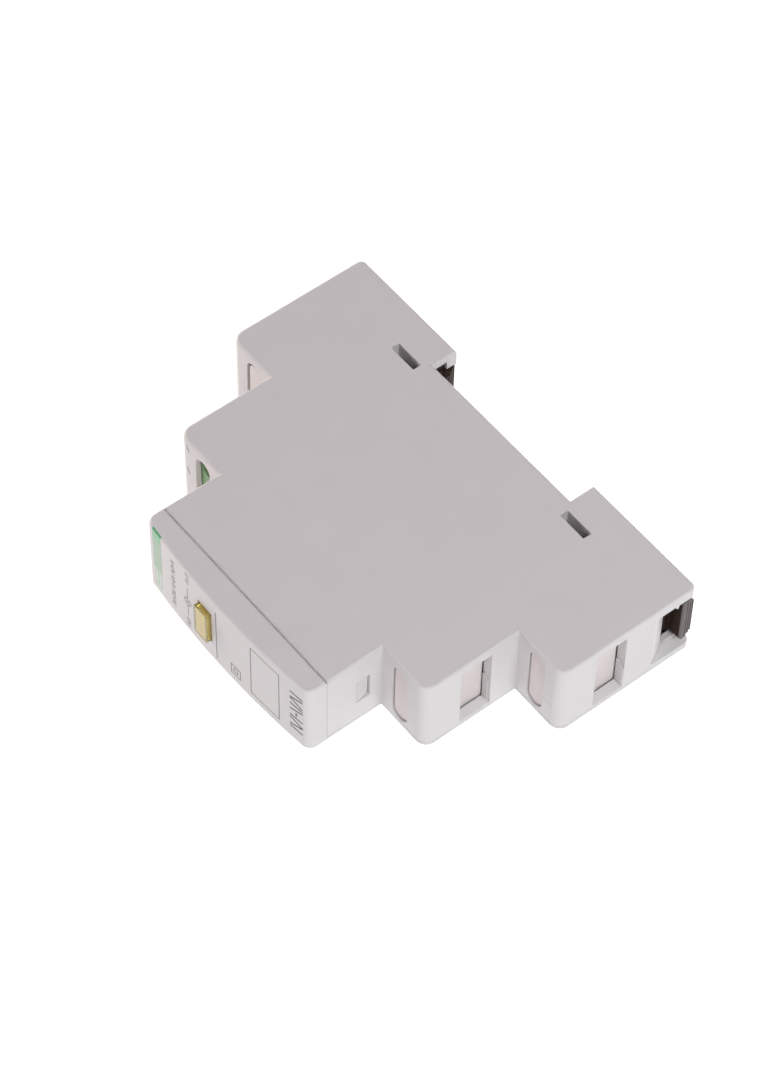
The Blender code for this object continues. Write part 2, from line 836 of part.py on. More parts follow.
def make_latch(name, side, surface):
    """A rail latch: flange in the T-shaped guide, tongue, rail hook and finger tab, drawn at rest."""
    origin = world(side * RECESS_X, (RAIL_SEAT + BACK) / 2, MID_Z)
    flange_depth = (RAIL_SEAT + GAP, LIP_DEPTH - GAP)
    tab_front = RAIL_SEAT + 2.6
    back = BACK - 0.2

    def flange(bm):
        xs = sided(side, RECESS_X + 0.3, 37.6)
        add_box(bm, xs, flange_depth, (RIB_LOW_Z + 0.1, SKIN_Z - 0.4))

    def neck(bm):
        add_box(bm, sided(side, 37.3, 41.4), flange_depth, (TAB_SILL_Z + GAP, SCOOP_Z[1] - 0.4))

    def tongue(bm):
        xs = sided(side, RECESS_X + 0.1, 42.0)
        add_box(bm, xs, (flange_depth[1] - 0.3, back), TONGUE_Z)

    def hook(bm):
        """The nose that holds the rail's edge, with a ramp that lets the rail push it back."""
        tip = RECESS_X - 1.2
        outline = [
            (RECESS_X + 0.8, RAIL_SEAT + 1.2),
            (tip, RAIL_SEAT + 1.2),
            (tip, RAIL_SEAT + 2.8),
            (RECESS_X + 0.3, back),
            (RECESS_X + 0.8, back),
        ]
        add_prism(bm, [(side * x, depth) for x, depth in outline], *TONGUE_Z)

    def tab_root(bm):
        """Carries the tab, behind the sill in the end opening."""
        xs = sided(side, 41.0, LOW_X - END_WALL + 0.4)
        add_box(bm, xs, (tab_front, back), TONGUE_Z)

    def tab(bm):
        """The finger tab, with its lower end cut to a point."""
        low, high = TONGUE_Z
        top = SCOOP_Z[1] - 0.5
        outline = [
            (tab_front, low + 0.2), (tab_front + 0.5, low - 0.5), (tab_front + 1.1, low - 0.6),
            (back, low + 1.0), (back, high), (back - 0.5, top), (tab_front, top),
        ]
        add_prism(bm, outline, *sided(side, LOW_X - END_WALL + 0.2, LOW_X - 0.1), axis="x")

    def stop_pocket(bm):
        """Room for the shell's stop over the whole travel."""
        xs = sided(side, STOP_X[0] - LATCH_TRAVEL - 2 * GAP, STOP_X[1] + GAP)
        zs = (STOP_Z[0] - GAP, STOP_Z[1] + GAP)
        add_box(bm, xs, (RAIL_SEAT - 1.0, flange_depth[1]), zs)

    def leg_slots(bm):
        """Slots that leave a slim spring leg along each edge of the flange."""
        for zs in ((2.9, 3.6), (13.9, 14.6)):
            add_box(bm, sided(side, RECESS_X - 0.5, 36.5), (RAIL_SEAT - 1.0, LIP_DEPTH + 1.0), zs)

    latch = start(name, surface, flange, origin)
    for build in (neck, tongue, hook, tab_root, tab):
        shape(latch, "UNION", build)
    for build in (stop_pocket, leg_slots):
        shape(latch, "DIFFERENCE", build)


# ---------------------------------------------------------------- the whole object


def main():
    clear_scene()
    casing = material("casing_plastic", (0.62, 0.60, 0.60), 0.45)
    blank = material("blank_plastic", (0.72, 0.66, 0.64), 0.5)
    latch = material("latch_plastic", (0.06, 0.045, 0.04), 0.45)
    lens = material("lens_plastic", (0.75, 0.55, 0.12), 0.2)
    green = material("terminal_plastic", (0.12, 0.35, 0.14), 0.45)
    zinc = material("zinc_plate", (0.75, 0.76, 0.78), 0.3, 1.0)
    tin = material("tinned_copper", (0.8, 0.78, 0.74), 0.3, 1.0)
    board = material("board_laminate", (0.05, 0.25, 0.10), 0.5)
    led = material("led_epoxy", (0.85, 0.65, 0.15), 0.15)
    black = material("black_plastic", (0.03, 0.03, 0.03), 0.5)
    film = material("capacitor_case", (0.55, 0.08, 0.06), 0.45)
    can = material("capacitor_sleeve", (0.05, 0.07, 0.16), 0.4)
    beige = material("resistor_coat", (0.55, 0.42, 0.28), 0.5)
    blue = material("resistor_film_coat", (0.20, 0.42, 0.60), 0.5)

    make_main_shell(casing)
    make_side_cover(casing)
    make_front_cover(casing)
    make_lens(lens)
    make_board(board)
    make_led(led)
    make_led_holder(black)
    make_components(film, black, can, beige, blue)
    make_terminal_block(green)
    for number, (pole, riser) in enumerate(zip(POLES, RISERS), 1):
        make_screw(number, pole, zinc)
        make_cage(number, pole, zinc)
        make_contact(number, pole, riser, tin)
    make_blank("blank_top_rear", -1, MID_X, LOW_X, LOW_LEDGE, blank)
    make_blank("blank_bottom_front", 1, NOSE_X, MID_X, MID_LEDGE, blank)
    make_blank("blank_bottom_rear", 1, MID_X, LOW_X, LOW_LEDGE, blank)
    make_latch("rail_latch_top", -1, latch)
    make_latch("rail_latch_bottom", 1, latch)


main()
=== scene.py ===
"""The looks of a one-module DIN rail indicator lamp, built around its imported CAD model.

Sizes are in millimetres until at() turns them into metres. X runs from the module's top end (-X) to its
bottom end (+X). Depth is counted from the front panel's crown towards the rail (+Y). Z is the width.
"""

import json
import math

import bmesh
import bpy
from mathutils import Matrix, Vector


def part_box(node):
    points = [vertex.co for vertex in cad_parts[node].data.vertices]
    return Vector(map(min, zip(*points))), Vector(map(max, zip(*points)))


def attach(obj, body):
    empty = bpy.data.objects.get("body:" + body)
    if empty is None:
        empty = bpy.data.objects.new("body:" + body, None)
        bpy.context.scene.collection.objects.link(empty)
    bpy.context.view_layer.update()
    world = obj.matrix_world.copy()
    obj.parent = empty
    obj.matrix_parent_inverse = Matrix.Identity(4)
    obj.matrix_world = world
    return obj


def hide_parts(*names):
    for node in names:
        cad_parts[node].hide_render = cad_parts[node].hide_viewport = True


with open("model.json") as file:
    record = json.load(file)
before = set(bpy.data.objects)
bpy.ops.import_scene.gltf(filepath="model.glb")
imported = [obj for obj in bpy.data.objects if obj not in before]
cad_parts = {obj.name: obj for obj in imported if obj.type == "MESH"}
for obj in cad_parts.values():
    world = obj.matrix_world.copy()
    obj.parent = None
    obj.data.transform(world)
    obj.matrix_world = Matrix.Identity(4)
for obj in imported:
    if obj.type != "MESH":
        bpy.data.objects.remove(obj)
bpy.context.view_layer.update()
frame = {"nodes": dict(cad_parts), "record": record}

MM = 0.001
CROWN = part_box("front_cover")[0].y / MM


def extent(node):
    """A CAD node's lowest and highest corner, as (x, depth, z) in millimetres."""
    return [(p.x / MM, p.y / MM - CROWN, p.z / MM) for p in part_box(node)]


def mount_place(name):
    for mount in frame["record"]["mounts"]:
        if mount["name"] == name:
            x, y, z = mount["pos_m"]
            return (x / MM, y / MM - CROWN, z / MM)
    raise KeyError(name)


# Casing, read from the frame
NOSE_X = extent("front_cover")[1][0]
LOW_X = extent("case_main_shell")[1][0]
WIDTH = extent("case_main_shell")[1][2]
BACK = extent("case_main_shell")[1][1]
RAIL_SEAT = mount_place("rail_seat")[1]
MID_Z = WIDTH / 2

# Casing walls and steps
END_WALL = 2.0
WALL = 1.5
LEDGE_WALL = 1.2
SKIN_Z = WIDTH - WALL
END_INNER = LOW_X - END_WALL
RIB = 1.0
MID_X = extent("blank_bottom_front")[1][0] + END_WALL + 0.2
MID_LEDGE = extent("blank_bottom_front")[0][1] - 0.8
LOW_LEDGE = extent("blank_bottom_rear")[0][1] - 0.8
RECESS_X = 18.4
LEDGE_LINE_Z = (6.15, 6.22)
STEP_CORNER = 2.2
BACK_CORNER = 1.2
EDGE_ROUND = 0.5

# Joins between the casing's pieces
SEAM = 5.05
SEAM_GAP = 0.055
SPLIT_Z = 1.0
SPLIT_GAP = 0.05

# Front panel
FRONT_RADIUS = 190.0
FRONT_CORNER = 1.8
FRONT_INNER = 2.2
LENS_FLANGE = 1.1
LENS_LOW, LENS_HIGH = extent("indicator_lens")
LENS_X = (LENS_LOW[0] + LENS_HIGH[0]) / 2
LENS_HALF_X = (LENS_HIGH[0] - LENS_LOW[0]) / 2 - LENS_FLANGE
LENS_HALF_Z = (LENS_HIGH[2] - LENS_LOW[2]) / 2 - LENS_FLANGE
HOOK_DEPTH = (11.25, 14.15)
HOOK_Z = (5.6, 11.6)

# Terminal bays, measured from the step wall and from the ledge
PORT_OFFSET = 2.7
PORT_WIDTH = 4.0
PORT_Z = (1.6, 15.6)
PORT_CENTRE_X = PORT_OFFSET + PORT_WIDTH / 2
WINDOW_DEPTH = (7.6, 14.0)
WINDOW_Z = (1.6, 15.6)
BAY_END = 15.6
NOTCH_DEPTH = (24.4, 26.6)
NOTCH_Z = (3.4, 14.1)

# The raised part on each window's back wall: its edge's arc (centre, radii) and the points after it,
# as (distance in from the wall's face, z)
NIB_END = 1.95
MID_NIB = ((1.45, 7.0), (0.75, 1.8), [])
LOW_NIB = ((1.4, 7.65), (0.62, 0.8), [(0.5, 7.25), (0.12, 7.05)])

# Rail end
SLOT_X = (19.8, 25.9)
SLOT_DEPTH = (56.7, 58.4)
LIP_DEPTH = 63.15
LIP_Z = (3.9, 14.0)
SCOOP_Z = (2.0, 15.1)
SCOOP_START = 56.4
TONGUE_Z = (4.2, 13.7)
TONGUE_END = 42.0
FLANGE_END = 37.6
NECK_END = 41.4
TAB_FRONT = RAIL_SEAT + 2.6
TAB_SILL_Z = 3.2
GROOVE_DEPTHS = (63.75, 64.3, 64.8)
GROOVE_WIDTH = 0.22
TOOTH_DEPTH = (61.1, 62.1)
TOOTH_Z = (14.1, 14.5)
STOP_X = (30.0, 32.0)
STOP_Z = (7.2, 10.3)
LATCH_TRAVEL = 4.0

# Pegs that fix the cover and the circuit board
COVER_PEGS = [(-27.5, 40.0), (27.5, 40.0), (-37.0, 54.8), (37.0, 54.8)]
BOARD_PEGS = [(-15.0, 14.0), (15.0, 14.0), (-15.0, 52.0), (15.0, 52.0)]
BOARD_LOW, BOARD_HIGH = extent("circuit_board")


# ---------------------------------------------------------------- shapes


def at(x, depth, z):
    """A place in metres in the frame."""
    return (x * MM, (CROWN + depth) * MM, z * MM)


def place_on(axis, first, second, along):
    """An outline's point: the outline's plane is square to the axis."""
    if axis == "z":
        return at(first, second, along)
    if axis == "x":
        return at(along, first, second)
    return at(first, along, second)


def prism(bm, outline, low, high, axis="z", round_low=0.0, round_high=0.0, segments=4):
    """A closed prism on an outline, with its rim edges rounded by the given radii."""
    start = [bm.verts.new(place_on(axis, a, b, low)) for a, b in outline]
    end = [bm.verts.new(place_on(axis, a, b, high)) for a, b in outline]
    count = len(outline)
    faces = [bm.faces.new(start), bm.faces.new(end)]
    for i in range(count):
        j = (i + 1) % count
        faces.append(bm.faces.new((start[i], start[j], end[j], end[i])))
    bmesh.ops.recalc_face_normals(bm, faces=faces)
    for face, radius in ((faces[0], round_low), (faces[1], round_high)):
        if radius:
            bmesh.ops.bevel(
                bm, geom=list(face.edges), offset=radius * MM, segments=segments,
                affect="EDGES", profile=0.5,
            )


def block(bm, xs, depths, zs):
    outline = [(xs[0], depths[0]), (xs[1], depths[0]), (xs[1], depths[1]), (xs[0], depths[1])]
    prism(bm, outline, zs[0], zs[1])


def circle(centre, radius, count=24):
    turns = [2 * math.pi * (i + 0.5) / count for i in range(count)]
    return [(centre[0] + radius * math.cos(t), centre[1] + radius * math.sin(t)) for t in turns]


def obround(centre_x, width, low, high, count=17):
    """A slot's outline: straight sides and a half circle at each end."""
    radius = width / 2
    outline = []
    for end, first in ((high - radius, 0.0), (low + radius, math.pi)):
        for i in range(count):
            turn = first + math.pi * i / (count - 1)
            outline.append((centre_x + radius * math.cos(turn), end + radius * math.sin(turn)))
    return outline


def unit(start, end):
    length = math.dist(start[:2], end[:2])
    return ((end[0] - start[0]) / length, (end[1] - start[1]) / length)


def rounded(corners, steps=8):
    """An outline whose corners (x, y, radius) are replaced by arcs."""
    outline = []
    count = len(corners)
    for i in range(count):
        x, y, radius = corners[i]
        if not radius:
            outline.append((x, y))
            continue
        before = unit(corners[i - 1], corners[i])
        after = unit(corners[i], corners[(i + 1) % count])
        start = (x - before[0] * radius, y - before[1] * radius)
        centre = (start[0] + after[0] * radius, start[1] + after[1] * radius)
        for k in range(steps + 1):
            turn = math.pi / 2 * k / steps
            across, along = radius * math.cos(turn), radius * math.sin(turn)
            outline.append(tuple(centre[n] - after[n] * across + before[n] * along for n in (0, 1)))
    return outline


def mirrored(half):
    """Both halves of an outline that is given on the +X side."""
    return half + [(-corner[0], *corner[1:]) for corner in reversed(half)]


def sided(side, low, high):
    """A range of X on the +X or the -X side of the casing."""
    return (low, high) if side > 0 else (-high, -low)


def twin_blocks(bm, low, high, depths, zs):
    """The same block on the -X and the +X side of the casing."""
    for side in (-1, 1):
        block(bm, sided(side, low, high), depths, zs)


# ---------------------------------------------------------------- pieces


def new_object(name, bm):
    mesh = bpy.data.meshes.new(name)
    bm.to_mesh(mesh)
    bm.free()
    obj = bpy.data.objects.new(name, mesh)
    bpy.context.scene.collection.objects.link(obj)
    return obj


def start(name, build):
    bm = bmesh.new()
    build(bm)
    return new_object(name, bm)


def bake_modifiers(obj):
    """Puts the result of an object's modifiers in its mesh."""
    graph = bpy.context.evaluated_depsgraph_get()
    made = bpy.data.meshes.new_from_object(obj.evaluated_get(graph))
    obj.modifiers.clear()
    obj.data = made


def shape(obj, operation, *builds):
    """Adds to an object, or cuts from it, the solids that each function puts in a bmesh."""
    for build in builds:
        helper = start("helper", build)
        modifier = obj.modifiers.new(operation.title(), "BOOLEAN")
        modifier.operation = operation
        modifier.solver = "EXACT"
        modifier.object = helper
        bake_modifiers(obj)
        bpy.data.objects.remove(helper, do_unlink=True)


WIDE_FACTOR = 6.0


def soften(obj, width, segments=2, angle=38.0, weigh=None):
    """Rounds the sharp edges a little and shades the rest smooth.

    weigh(|x|, depth, z) gives an edge's share of the width, up to WIDE_FACTOR, from its middle.
    """
    limit = math.radians(angle)
    bm = bmesh.new()
    bm.from_mesh(obj.data)
    bmesh.ops.remove_doubles(bm, verts=bm.verts, dist=0.002 * MM)
    bmesh.ops.dissolve_degenerate(bm, edges=bm.edges, dist=0.002 * MM)
    bmesh.ops.dissolve_limit(
        bm, angle_limit=math.radians(0.3), verts=bm.verts, edges=bm.edges, delimit={"NORMAL"},
    )
    weights = bm.edges.layers.float.new("bevel_weight_edge")
    for edge in bm.edges:
        if len(edge.link_faces) == 2 and edge.calc_face_angle(0.0) > limit:
            x, y, z = (edge.verts[0].co + edge.verts[1].co) / 2 / MM
            edge[weights] = (weigh(abs(x), y - CROWN, z) if weigh else 1.0) / WIDE_FACTOR
    bm.to_mesh(obj.data)
    bm.free()
    bevel = obj.modifiers.new("Bevel", "BEVEL")
    bevel.width = width * WIDE_FACTOR * MM
    bevel.segments = segments
    bevel.limit_method = "WEIGHT"
    bevel.use_clamp_overlap = False
    bevel.miter_outer = "MITER_ARC"
    bake_modifiers(obj)
    obj.data.shade_smooth()
    obj.data.set_sharp_from_angle(angle=limit)
    weighted = obj.modifiers.new("Normals", "WEIGHTED_NORMAL")
    weighted.keep_sharp = True
    weighted.weight = 60
    bake_modifiers(obj)


def lighten_recesses(shell, painted_light_upward, ramp):
    """The faces inside the wire windows and finger scoops get smoother copies of the casing grey in a
    lighter colour: painted bounce light.
    """
    shell.data.materials.append(painted_light_upward)
    shell.data.materials.append(ramp)
    zones = [
        (abs(outer_x) - END_WALL - 0.1, ledge + WINDOW_DEPTH[0] - 0.1, ledge + WINDOW_DEPTH[1] + 0.1)
        for _, _, outer_x, ledge in bays()
    ]
    zones.append((END_INNER - 1.2, SCOOP_START, BACK))
    for face in shell.data.polygons:
        x, depth, z = abs(face.center.x) / MM, face.center.y / MM - CROWN, face.center.z / MM
        if not WALL < z < SCOOP_Z[1] - 0.4 or abs(x - MID_X) < 0.05 or abs(x - LOW_X) < 0.05:
            continue
        if not any(x > low_x and low < depth < high for low_x, low, high in zones):
            continue
        # Upward faces get the lightest copy and the scoop's ramp a slightly lighter one: painted light.
        if face.normal.z > 0.7:
            face.material_index = 1
        elif depth > SCOOP_START + 0.2 and abs(face.normal.x) < 0.883:
            face.material_index = 2


def finish_piece(obj, body, surface, replaced=()):
    obj.data.materials.clear()
    obj.data.materials.append(surface)
    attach(obj, body)
    if replaced:
        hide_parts(*replaced)


# ---------------------------------------------------------------- materials


def new_material(name):
    made = bpy.data.materials.new(name)
    made.use_nodes = True
    return made, made.node_tree, made.node_tree.nodes["Principled BSDF"]


def set_inputs(node, values):
    for name, value in values.items():
        node.inputs[name].default_value = value


def texture_place(tree, stretch=(1.0, 1.0, 1.0)):
    """Object coordinates in millimetres, each axis scaled by the given factor."""
    coordinate = tree.nodes.new("ShaderNodeTexCoord")
    mapping = tree.nodes.new("ShaderNodeMapping")
    mapping.inputs["Scale"].default_value = [value / MM for value in stretch]
    tree.links.new(coordinate.outputs["Object"], mapping.inputs["Vector"])
    return mapping.outputs["Vector"]


def noise(tree, place, scale, detail=3.0, roughness=0.5):
    made = tree.nodes.new("ShaderNodeTexNoise")
    set_inputs(made, {"Scale": scale, "Detail": detail, "Roughness": roughness})
    tree.links.new(place, made.inputs["Vector"])
    return made.outputs["Fac"]


def tint(tree, shader, factor, stops):
    """Gives the shader a colour for each (position, colour) along a factor."""
    ramp = tree.nodes.new("ShaderNodeValToRGB")
    elements = ramp.color_ramp.elements
    while len(elements) < len(stops):
        elements.new(0.5)
    for element, (position, colour) in zip(elements, stops):
        element.position = position
        element.color = (*colour, 1.0)
    tree.links.new(factor, ramp.inputs["Fac"])
    tree.links.new(ramp.outputs["Color"], shader.inputs["Base Color"])
    return ramp


def roughen(tree, shader, factor, low, high):
    """Spreads the shader's roughness over a range along a factor."""
    made = tree.nodes.new("ShaderNodeMapRange")
    set_inputs(made, {"From Min": 0.3, "From Max": 0.7, "To Min": low, "To Max": high})
    tree.links.new(factor, made.inputs["Value"])
    tree.links.new(made.outputs["Result"], shader.inputs["Roughness"])


def bump(tree, shader, height, strength, distance):
    made = tree.nodes.new("ShaderNodeBump")
    set_inputs(made, {"Strength": strength, "Distance": distance * MM})
    tree.links.new(height, made.inputs["Height"])
    tree.links.new(made.outputs["Normal"], shader.inputs["Normal"])


def shade(colour, factor):
    return tuple(min(1.0, value * factor) for value in colour)


def plastic(name, colour, rough=(0.42, 0.55), grain=0.25, variation=0.03, grain_size=0.12, depth=0.0):
    """Moulded plastic: a spark-eroded grain, slight clouds of colour and uneven gloss."""
    made, tree, shader = new_material(name)
    if depth:
        set_inputs(shader, {"Subsurface Weight": 0.35, "Subsurface Scale": depth * MM})
        set_inputs(shader, {"Subsurface Radius": (1.0, 0.9, 0.85)})
    place = texture_place(tree)
    clouds = noise(tree, place, 0.12, 2.0)
    stops = [(0.35, shade(colour, 1 - variation)), (0.65, shade(colour, 1 + variation))]
    tint(tree, shader, clouds, stops)
    gloss = noise(tree, place, 0.9, 3.0)
    roughen(tree, shader, gloss, *rough)
    fine = noise(tree, place, 1 / grain_size, 2.0, 0.6)
    bump(tree, shader, fine, grain, 0.01)
    return made


def streaked_plastic(name, colour, rough=(0.28, 0.45), shine=0.5):
    """Dark latch plastic with drawn streaks along Y and Z."""
    made, tree, shader = new_material(name)
    place = texture_place(tree, (3.2, 3.2, 0.12))
    streaks = noise(tree, place, 1.0, 4.0, 0.65)
    stops = [(0.30, shade(colour, 0.55)), (0.52, colour), (0.72, shade(colour, 1.9))]
    tint(tree, shader, streaks, stops)
    roughen(tree, shader, streaks, *rough)
    shader.inputs["Specular IOR Level"].default_value = shine
    bump(tree, shader, streaks, 0.5, 0.05)
    return made


def metal(name, colour, rough, stretch=(1.0, 1.0, 1.0)):
    """Plated metal with fine drawn marks."""
    made, tree, shader = new_material(name)
    shader.inputs["Metallic"].default_value = 1.0
    marks = noise(tree, texture_place(tree, stretch), 3.0, 5.0, 0.7)
    stops = [(0.3, shade(colour, 0.85)), (0.7, colour)]
    tint(tree, shader, marks, stops)
    roughen(tree, shader, marks, rough, rough + 0.18)
    bump(tree, shader, marks, 0.15, 0.01)
    return made


def ink(name, colour):
    """Pad-printed ink, a little thin and uneven."""
    made, tree, shader = new_material(name)
    cover = noise(tree, texture_place(tree), 2.6, 3.0, 0.6)
    stops = [(0.35, shade(colour, 0.93)), (0.68, shade(colour, 1.12))]
    tint(tree, shader, cover, stops)
    roughen(tree, shader, cover, 0.35, 0.5)
    return made


def clear_plastic(name, colour, clear=0.72, milk=0.0):
    """Tinted clear plastic with faint flow marks, and some milkiness where it diffuses the lamp."""
    made, tree, shader = new_material(name)
    set_inputs(shader, {"Transmission Weight": clear, "IOR": 1.49})
    set_inputs(shader, {"Subsurface Weight": milk, "Subsurface Scale": 1.6 * MM})
    set_inputs(shader, {"Subsurface Radius": (1.0, 0.8, 0.25)})
    set_inputs(shader, {"Coat Weight": 0.3, "Coat Roughness": 0.08})
    place = texture_place(tree)
    flow = noise(tree, place, 0.5, 3.0)
    stops = [(0.3, shade(colour, 0.9)), (0.7, shade(colour, 1.06))]
    tint(tree, shader, flow, stops)
    roughen(tree, shader, flow, 0.12, 0.22)
    bump(tree, shader, noise(tree, place, 1.4, 2.0), 0.08, 0.02)
    return made


def board_laminate(name):
    """Green solder mask over copper tracks that run along X and along depth."""
    made, tree, shader = new_material(name)
    place = texture_place(tree, (0.9, 0.55, 0.02))
    cells = tree.nodes.new("ShaderNodeTexVoronoi")
    cells.distance = "MANHATTAN"
    cells.feature = "F1"
    cells.inputs["Scale"].default_value = 0.32
    tree.links.new(place, cells.inputs["Vector"])
    stops = [(0.0, (0.05, 0.30, 0.12)), (0.42, (0.05, 0.30, 0.12)), (0.46, (0.02, 0.17, 0.06))]
    tint(tree, shader, cells.outputs["Distance"], stops)
    weave = noise(tree, texture_place(tree), 2.4, 2.0)
    roughen(tree, shader, weave, 0.3, 0.5)
    bump(tree, shader, weave, 0.2, 0.02)
    return made


def banded_coat(name, colour, bands, axis_scale):
    """A resistor's coat with colour bands across its length."""
    made, tree, shader = new_material(name)
    place = texture_place(tree, axis_scale)
    split = tree.nodes.new("ShaderNodeSeparateXYZ")
    tree.links.new(place, split.inputs["Vector"])
    wave = tree.nodes.new("ShaderNodeMath")
    wave.operation = "FRACT"
    tree.links.new(split.outputs["X"], wave.inputs[0])
    stops = [(0.0, colour)]
    for i, band in enumerate(bands):
        position = 0.2 + 0.2 * i
        stops += [(position, band), (position + 0.08, colour)]
    tint(tree, shader, wave.outputs["Value"], stops).color_ramp.interpolation = "CONSTANT"
    roughen(tree, shader, noise(tree, texture_place(tree), 1.5, 2.0), 0.3, 0.45)
    return made


def make_materials():
    return {
        "casing": plastic("casing_grey", (0.640, 0.617, 0.622), variation=0.008),
        # Lighter, smoother copies of casing_grey for faces in the windows and scoops: painted light.
        "recess": plastic("casing_smooth_painted_light", (0.760, 0.735, 0.742), (0.32, 0.42), variation=0.008),
        "ramp": plastic("casing_ramp_painted_light", (0.670, 0.647, 0.652), (0.32, 0.42), variation=0.008),
        "blank": plastic("blank_white", (0.69, 0.625, 0.625), (0.5, 0.62), variation=0.02, depth=0.8),
        "latch": streaked_plastic("latch_brown", (0.042, 0.027, 0.021), (0.5, 0.65), shine=0.07),
        # A lighter copy of latch_brown for the tab's outer faces: painted light.
        "lit_face_painted_light": streaked_plastic("latch_lit_face_painted_light", (0.085, 0.066, 0.062)),
        "lens": clear_plastic("lens_yellow", (0.98, 0.84, 0.30), clear=0.82, milk=0.1),
        "diffuser": plastic("lens_diffuser", (0.86, 0.74, 0.50), (0.4, 0.5), grain=0.1, depth=0.8),
        "terminal": plastic("terminal_green", (0.29, 0.47, 0.26), (0.35, 0.5)),
        "black": plastic("black_plastic", (0.03, 0.03, 0.032), (0.35, 0.5)),
        "film": plastic("capacitor_red", (0.48, 0.07, 0.05), (0.25, 0.4), grain=0.1),
        "can": plastic("capacitor_blue", (0.04, 0.06, 0.17), (0.2, 0.35), grain=0.1),
        "led": clear_plastic("led_epoxy", (0.95, 0.80, 0.35)),
        "zinc": metal("zinc_plate", (0.78, 0.79, 0.81), 0.25, (1.0, 0.3, 1.0)),
        "tin": metal("tinned_copper", (0.82, 0.79, 0.74), 0.22, (0.2, 1.0, 1.0)),
        "board": board_laminate("board_laminate"),
        "series": banded_coat(
            "resistor_beige", (0.55, 0.42, 0.27),
            [(0.35, 0.06, 0.03), (0.03, 0.03, 0.03), (0.5, 0.35, 0.05)], (0.1, 1, 1),
        ),
        "bleed": banded_coat(
            "resistor_blue", (0.16, 0.40, 0.60),
            [(0.30, 0.12, 0.04), (0.02, 0.02, 0.02), (0.55, 0.4, 0.08)], (0.16, 1, 1),
        ),
        "ink_grey": ink("ink_grey", (0.045, 0.04, 0.04)),
        "ink_line": ink("ink_line_grey", (0.12, 0.11, 0.11)),
        "ink_green": ink("ink_green", (0.37, 0.49, 0.38)),
        # Darker copies of ink_green for the band's upper part and its turn over the edge: painted shade.
        "ink_green_half_painted_shade": ink("ink_green_half_painted_shade", (0.27, 0.50, 0.33)),
        "ink_green_painted_shade": ink("ink_green_painted_shade", (0.12, 0.38, 0.19)),
        "ink_green_faint": ink("ink_green_faint", (0.40, 0.58, 0.44)),
    }


# ---------------------------------------------------------------- casing


def casing_outline():
    """The casing's profile behind the front panel."""
    half = [
        (NOSE_X, SEAM + SEAM_GAP, 0),
        (NOSE_X, MID_LEDGE, 0),
        (MID_X, MID_LEDGE, STEP_CORNER),
        (MID_X, LOW_LEDGE, 0),
        (LOW_X, LOW_LEDGE, STEP_CORNER),
        (LOW_X, BACK, BACK_CORNER),
        (RECESS_X, BACK, 0),
        (RECESS_X, RAIL_SEAT, 0),
    ]
    return rounded(mirrored(half))


def cavity_outline(front, shrink=0.0):
    """The inside of the casing, made smaller all round by the given amount."""
    half = [
        (NOSE_X - WALL - shrink, front, 0),
        (NOSE_X - WALL - shrink, MID_LEDGE + LEDGE_WALL + shrink, 0),
        (MID_X - END_WALL - shrink, MID_LEDGE + LEDGE_WALL + shrink, 0),
        (MID_X - END_WALL - shrink, LOW_LEDGE + LEDGE_WALL + shrink, 0),
        (END_INNER - shrink, LOW_LEDGE + LEDGE_WALL + shrink, 0),
        (END_INNER - shrink, RAIL_SEAT - WALL - shrink, 0),
    ]
    return rounded(mirrored(half))


def bays():
    """Each terminal bay as (side, step wall, outer wall, ledge)."""
    steps = ((NOSE_X, MID_X, MID_LEDGE), (MID_X, LOW_X, LOW_LEDGE))
    return [(side, *step) for side in (-1, 1) for step in steps]


def add_bay_walls(bm):
    """A partition beside each terminal bay, hung from the side face's skin."""
    for side, step_x, _, ledge in bays():
        inner = step_x + 0.8
        depths = (ledge + LEDGE_WALL - 0.4, ledge + BAY_END + RIB)
        block(bm, sided(side, inner - RIB, inner), depths, (WALL + 0.3, SKIN_Z + 0.4))


def add_bay_backs(bm):
    for side, step_x, outer_x, ledge in bays():
        xs = sided(side, step_x + 0.4, outer_x - END_WALL + 0.4)
        block(bm, xs, (ledge + BAY_END, ledge + BAY_END + RIB), (WALL + 0.5, SKIN_Z + 0.5))


def add_scoop_blocks(bm):
    depths = (SCOOP_START - 1.5, RAIL_SEAT - WALL + 0.5)
    twin_blocks(bm, END_INNER - 2.2, END_INNER + 0.5, depths, (WALL + 0.2, SKIN_Z + 0.5))


def add_peg_bosses(bm):
    for place in COVER_PEGS:
        prism(bm, circle(place, 2.4), WALL + 0.3, SKIN_Z + 0.5)
    for place in BOARD_PEGS:
        prism(bm, circle(place, 2.0), BOARD_HIGH[2] + 0.3, SKIN_Z + 0.5)


def add_board_pins(bm):
    for place in BOARD_PEGS:
        prism(bm, circle(place, 0.9, 16), BOARD_LOW[2] + 0.1, BOARD_HIGH[2] + 0.8)


def add_seam_tongue(bm):
    """A thin tongue behind the seam, which the front panel slides over."""
    inner = NOSE_X - WALL - 0.25
    outer = NOSE_X - 0.55
    low, high = WALL + 0.4, WIDTH - 0.55
    half = [(inner, SKIN_Z - 0.2), (inner, low), (outer, low), (outer, high)]
    outline = half + [(-x, z) for x, z in reversed(half)]
    prism(bm, outline, SEAM - 0.7, SEAM + 1.0, axis="y")


def add_slot_collars(bm):
    """Walls that reach down round each side slot, over the latch guide."""
    depths = (SLOT_DEPTH[0] - 0.45, RAIL_SEAT - WALL + 0.3)
    twin_blocks(bm, SLOT_X[0] - 0.7, SLOT_X[1] + 0.7, depths, (SKIN_Z - 3.4, SKIN_Z + 0.3))


def cut_peg_holes(bm):
    for place in COVER_PEGS:
        prism(bm, circle(place, 1.3), 0.0, 9.0)


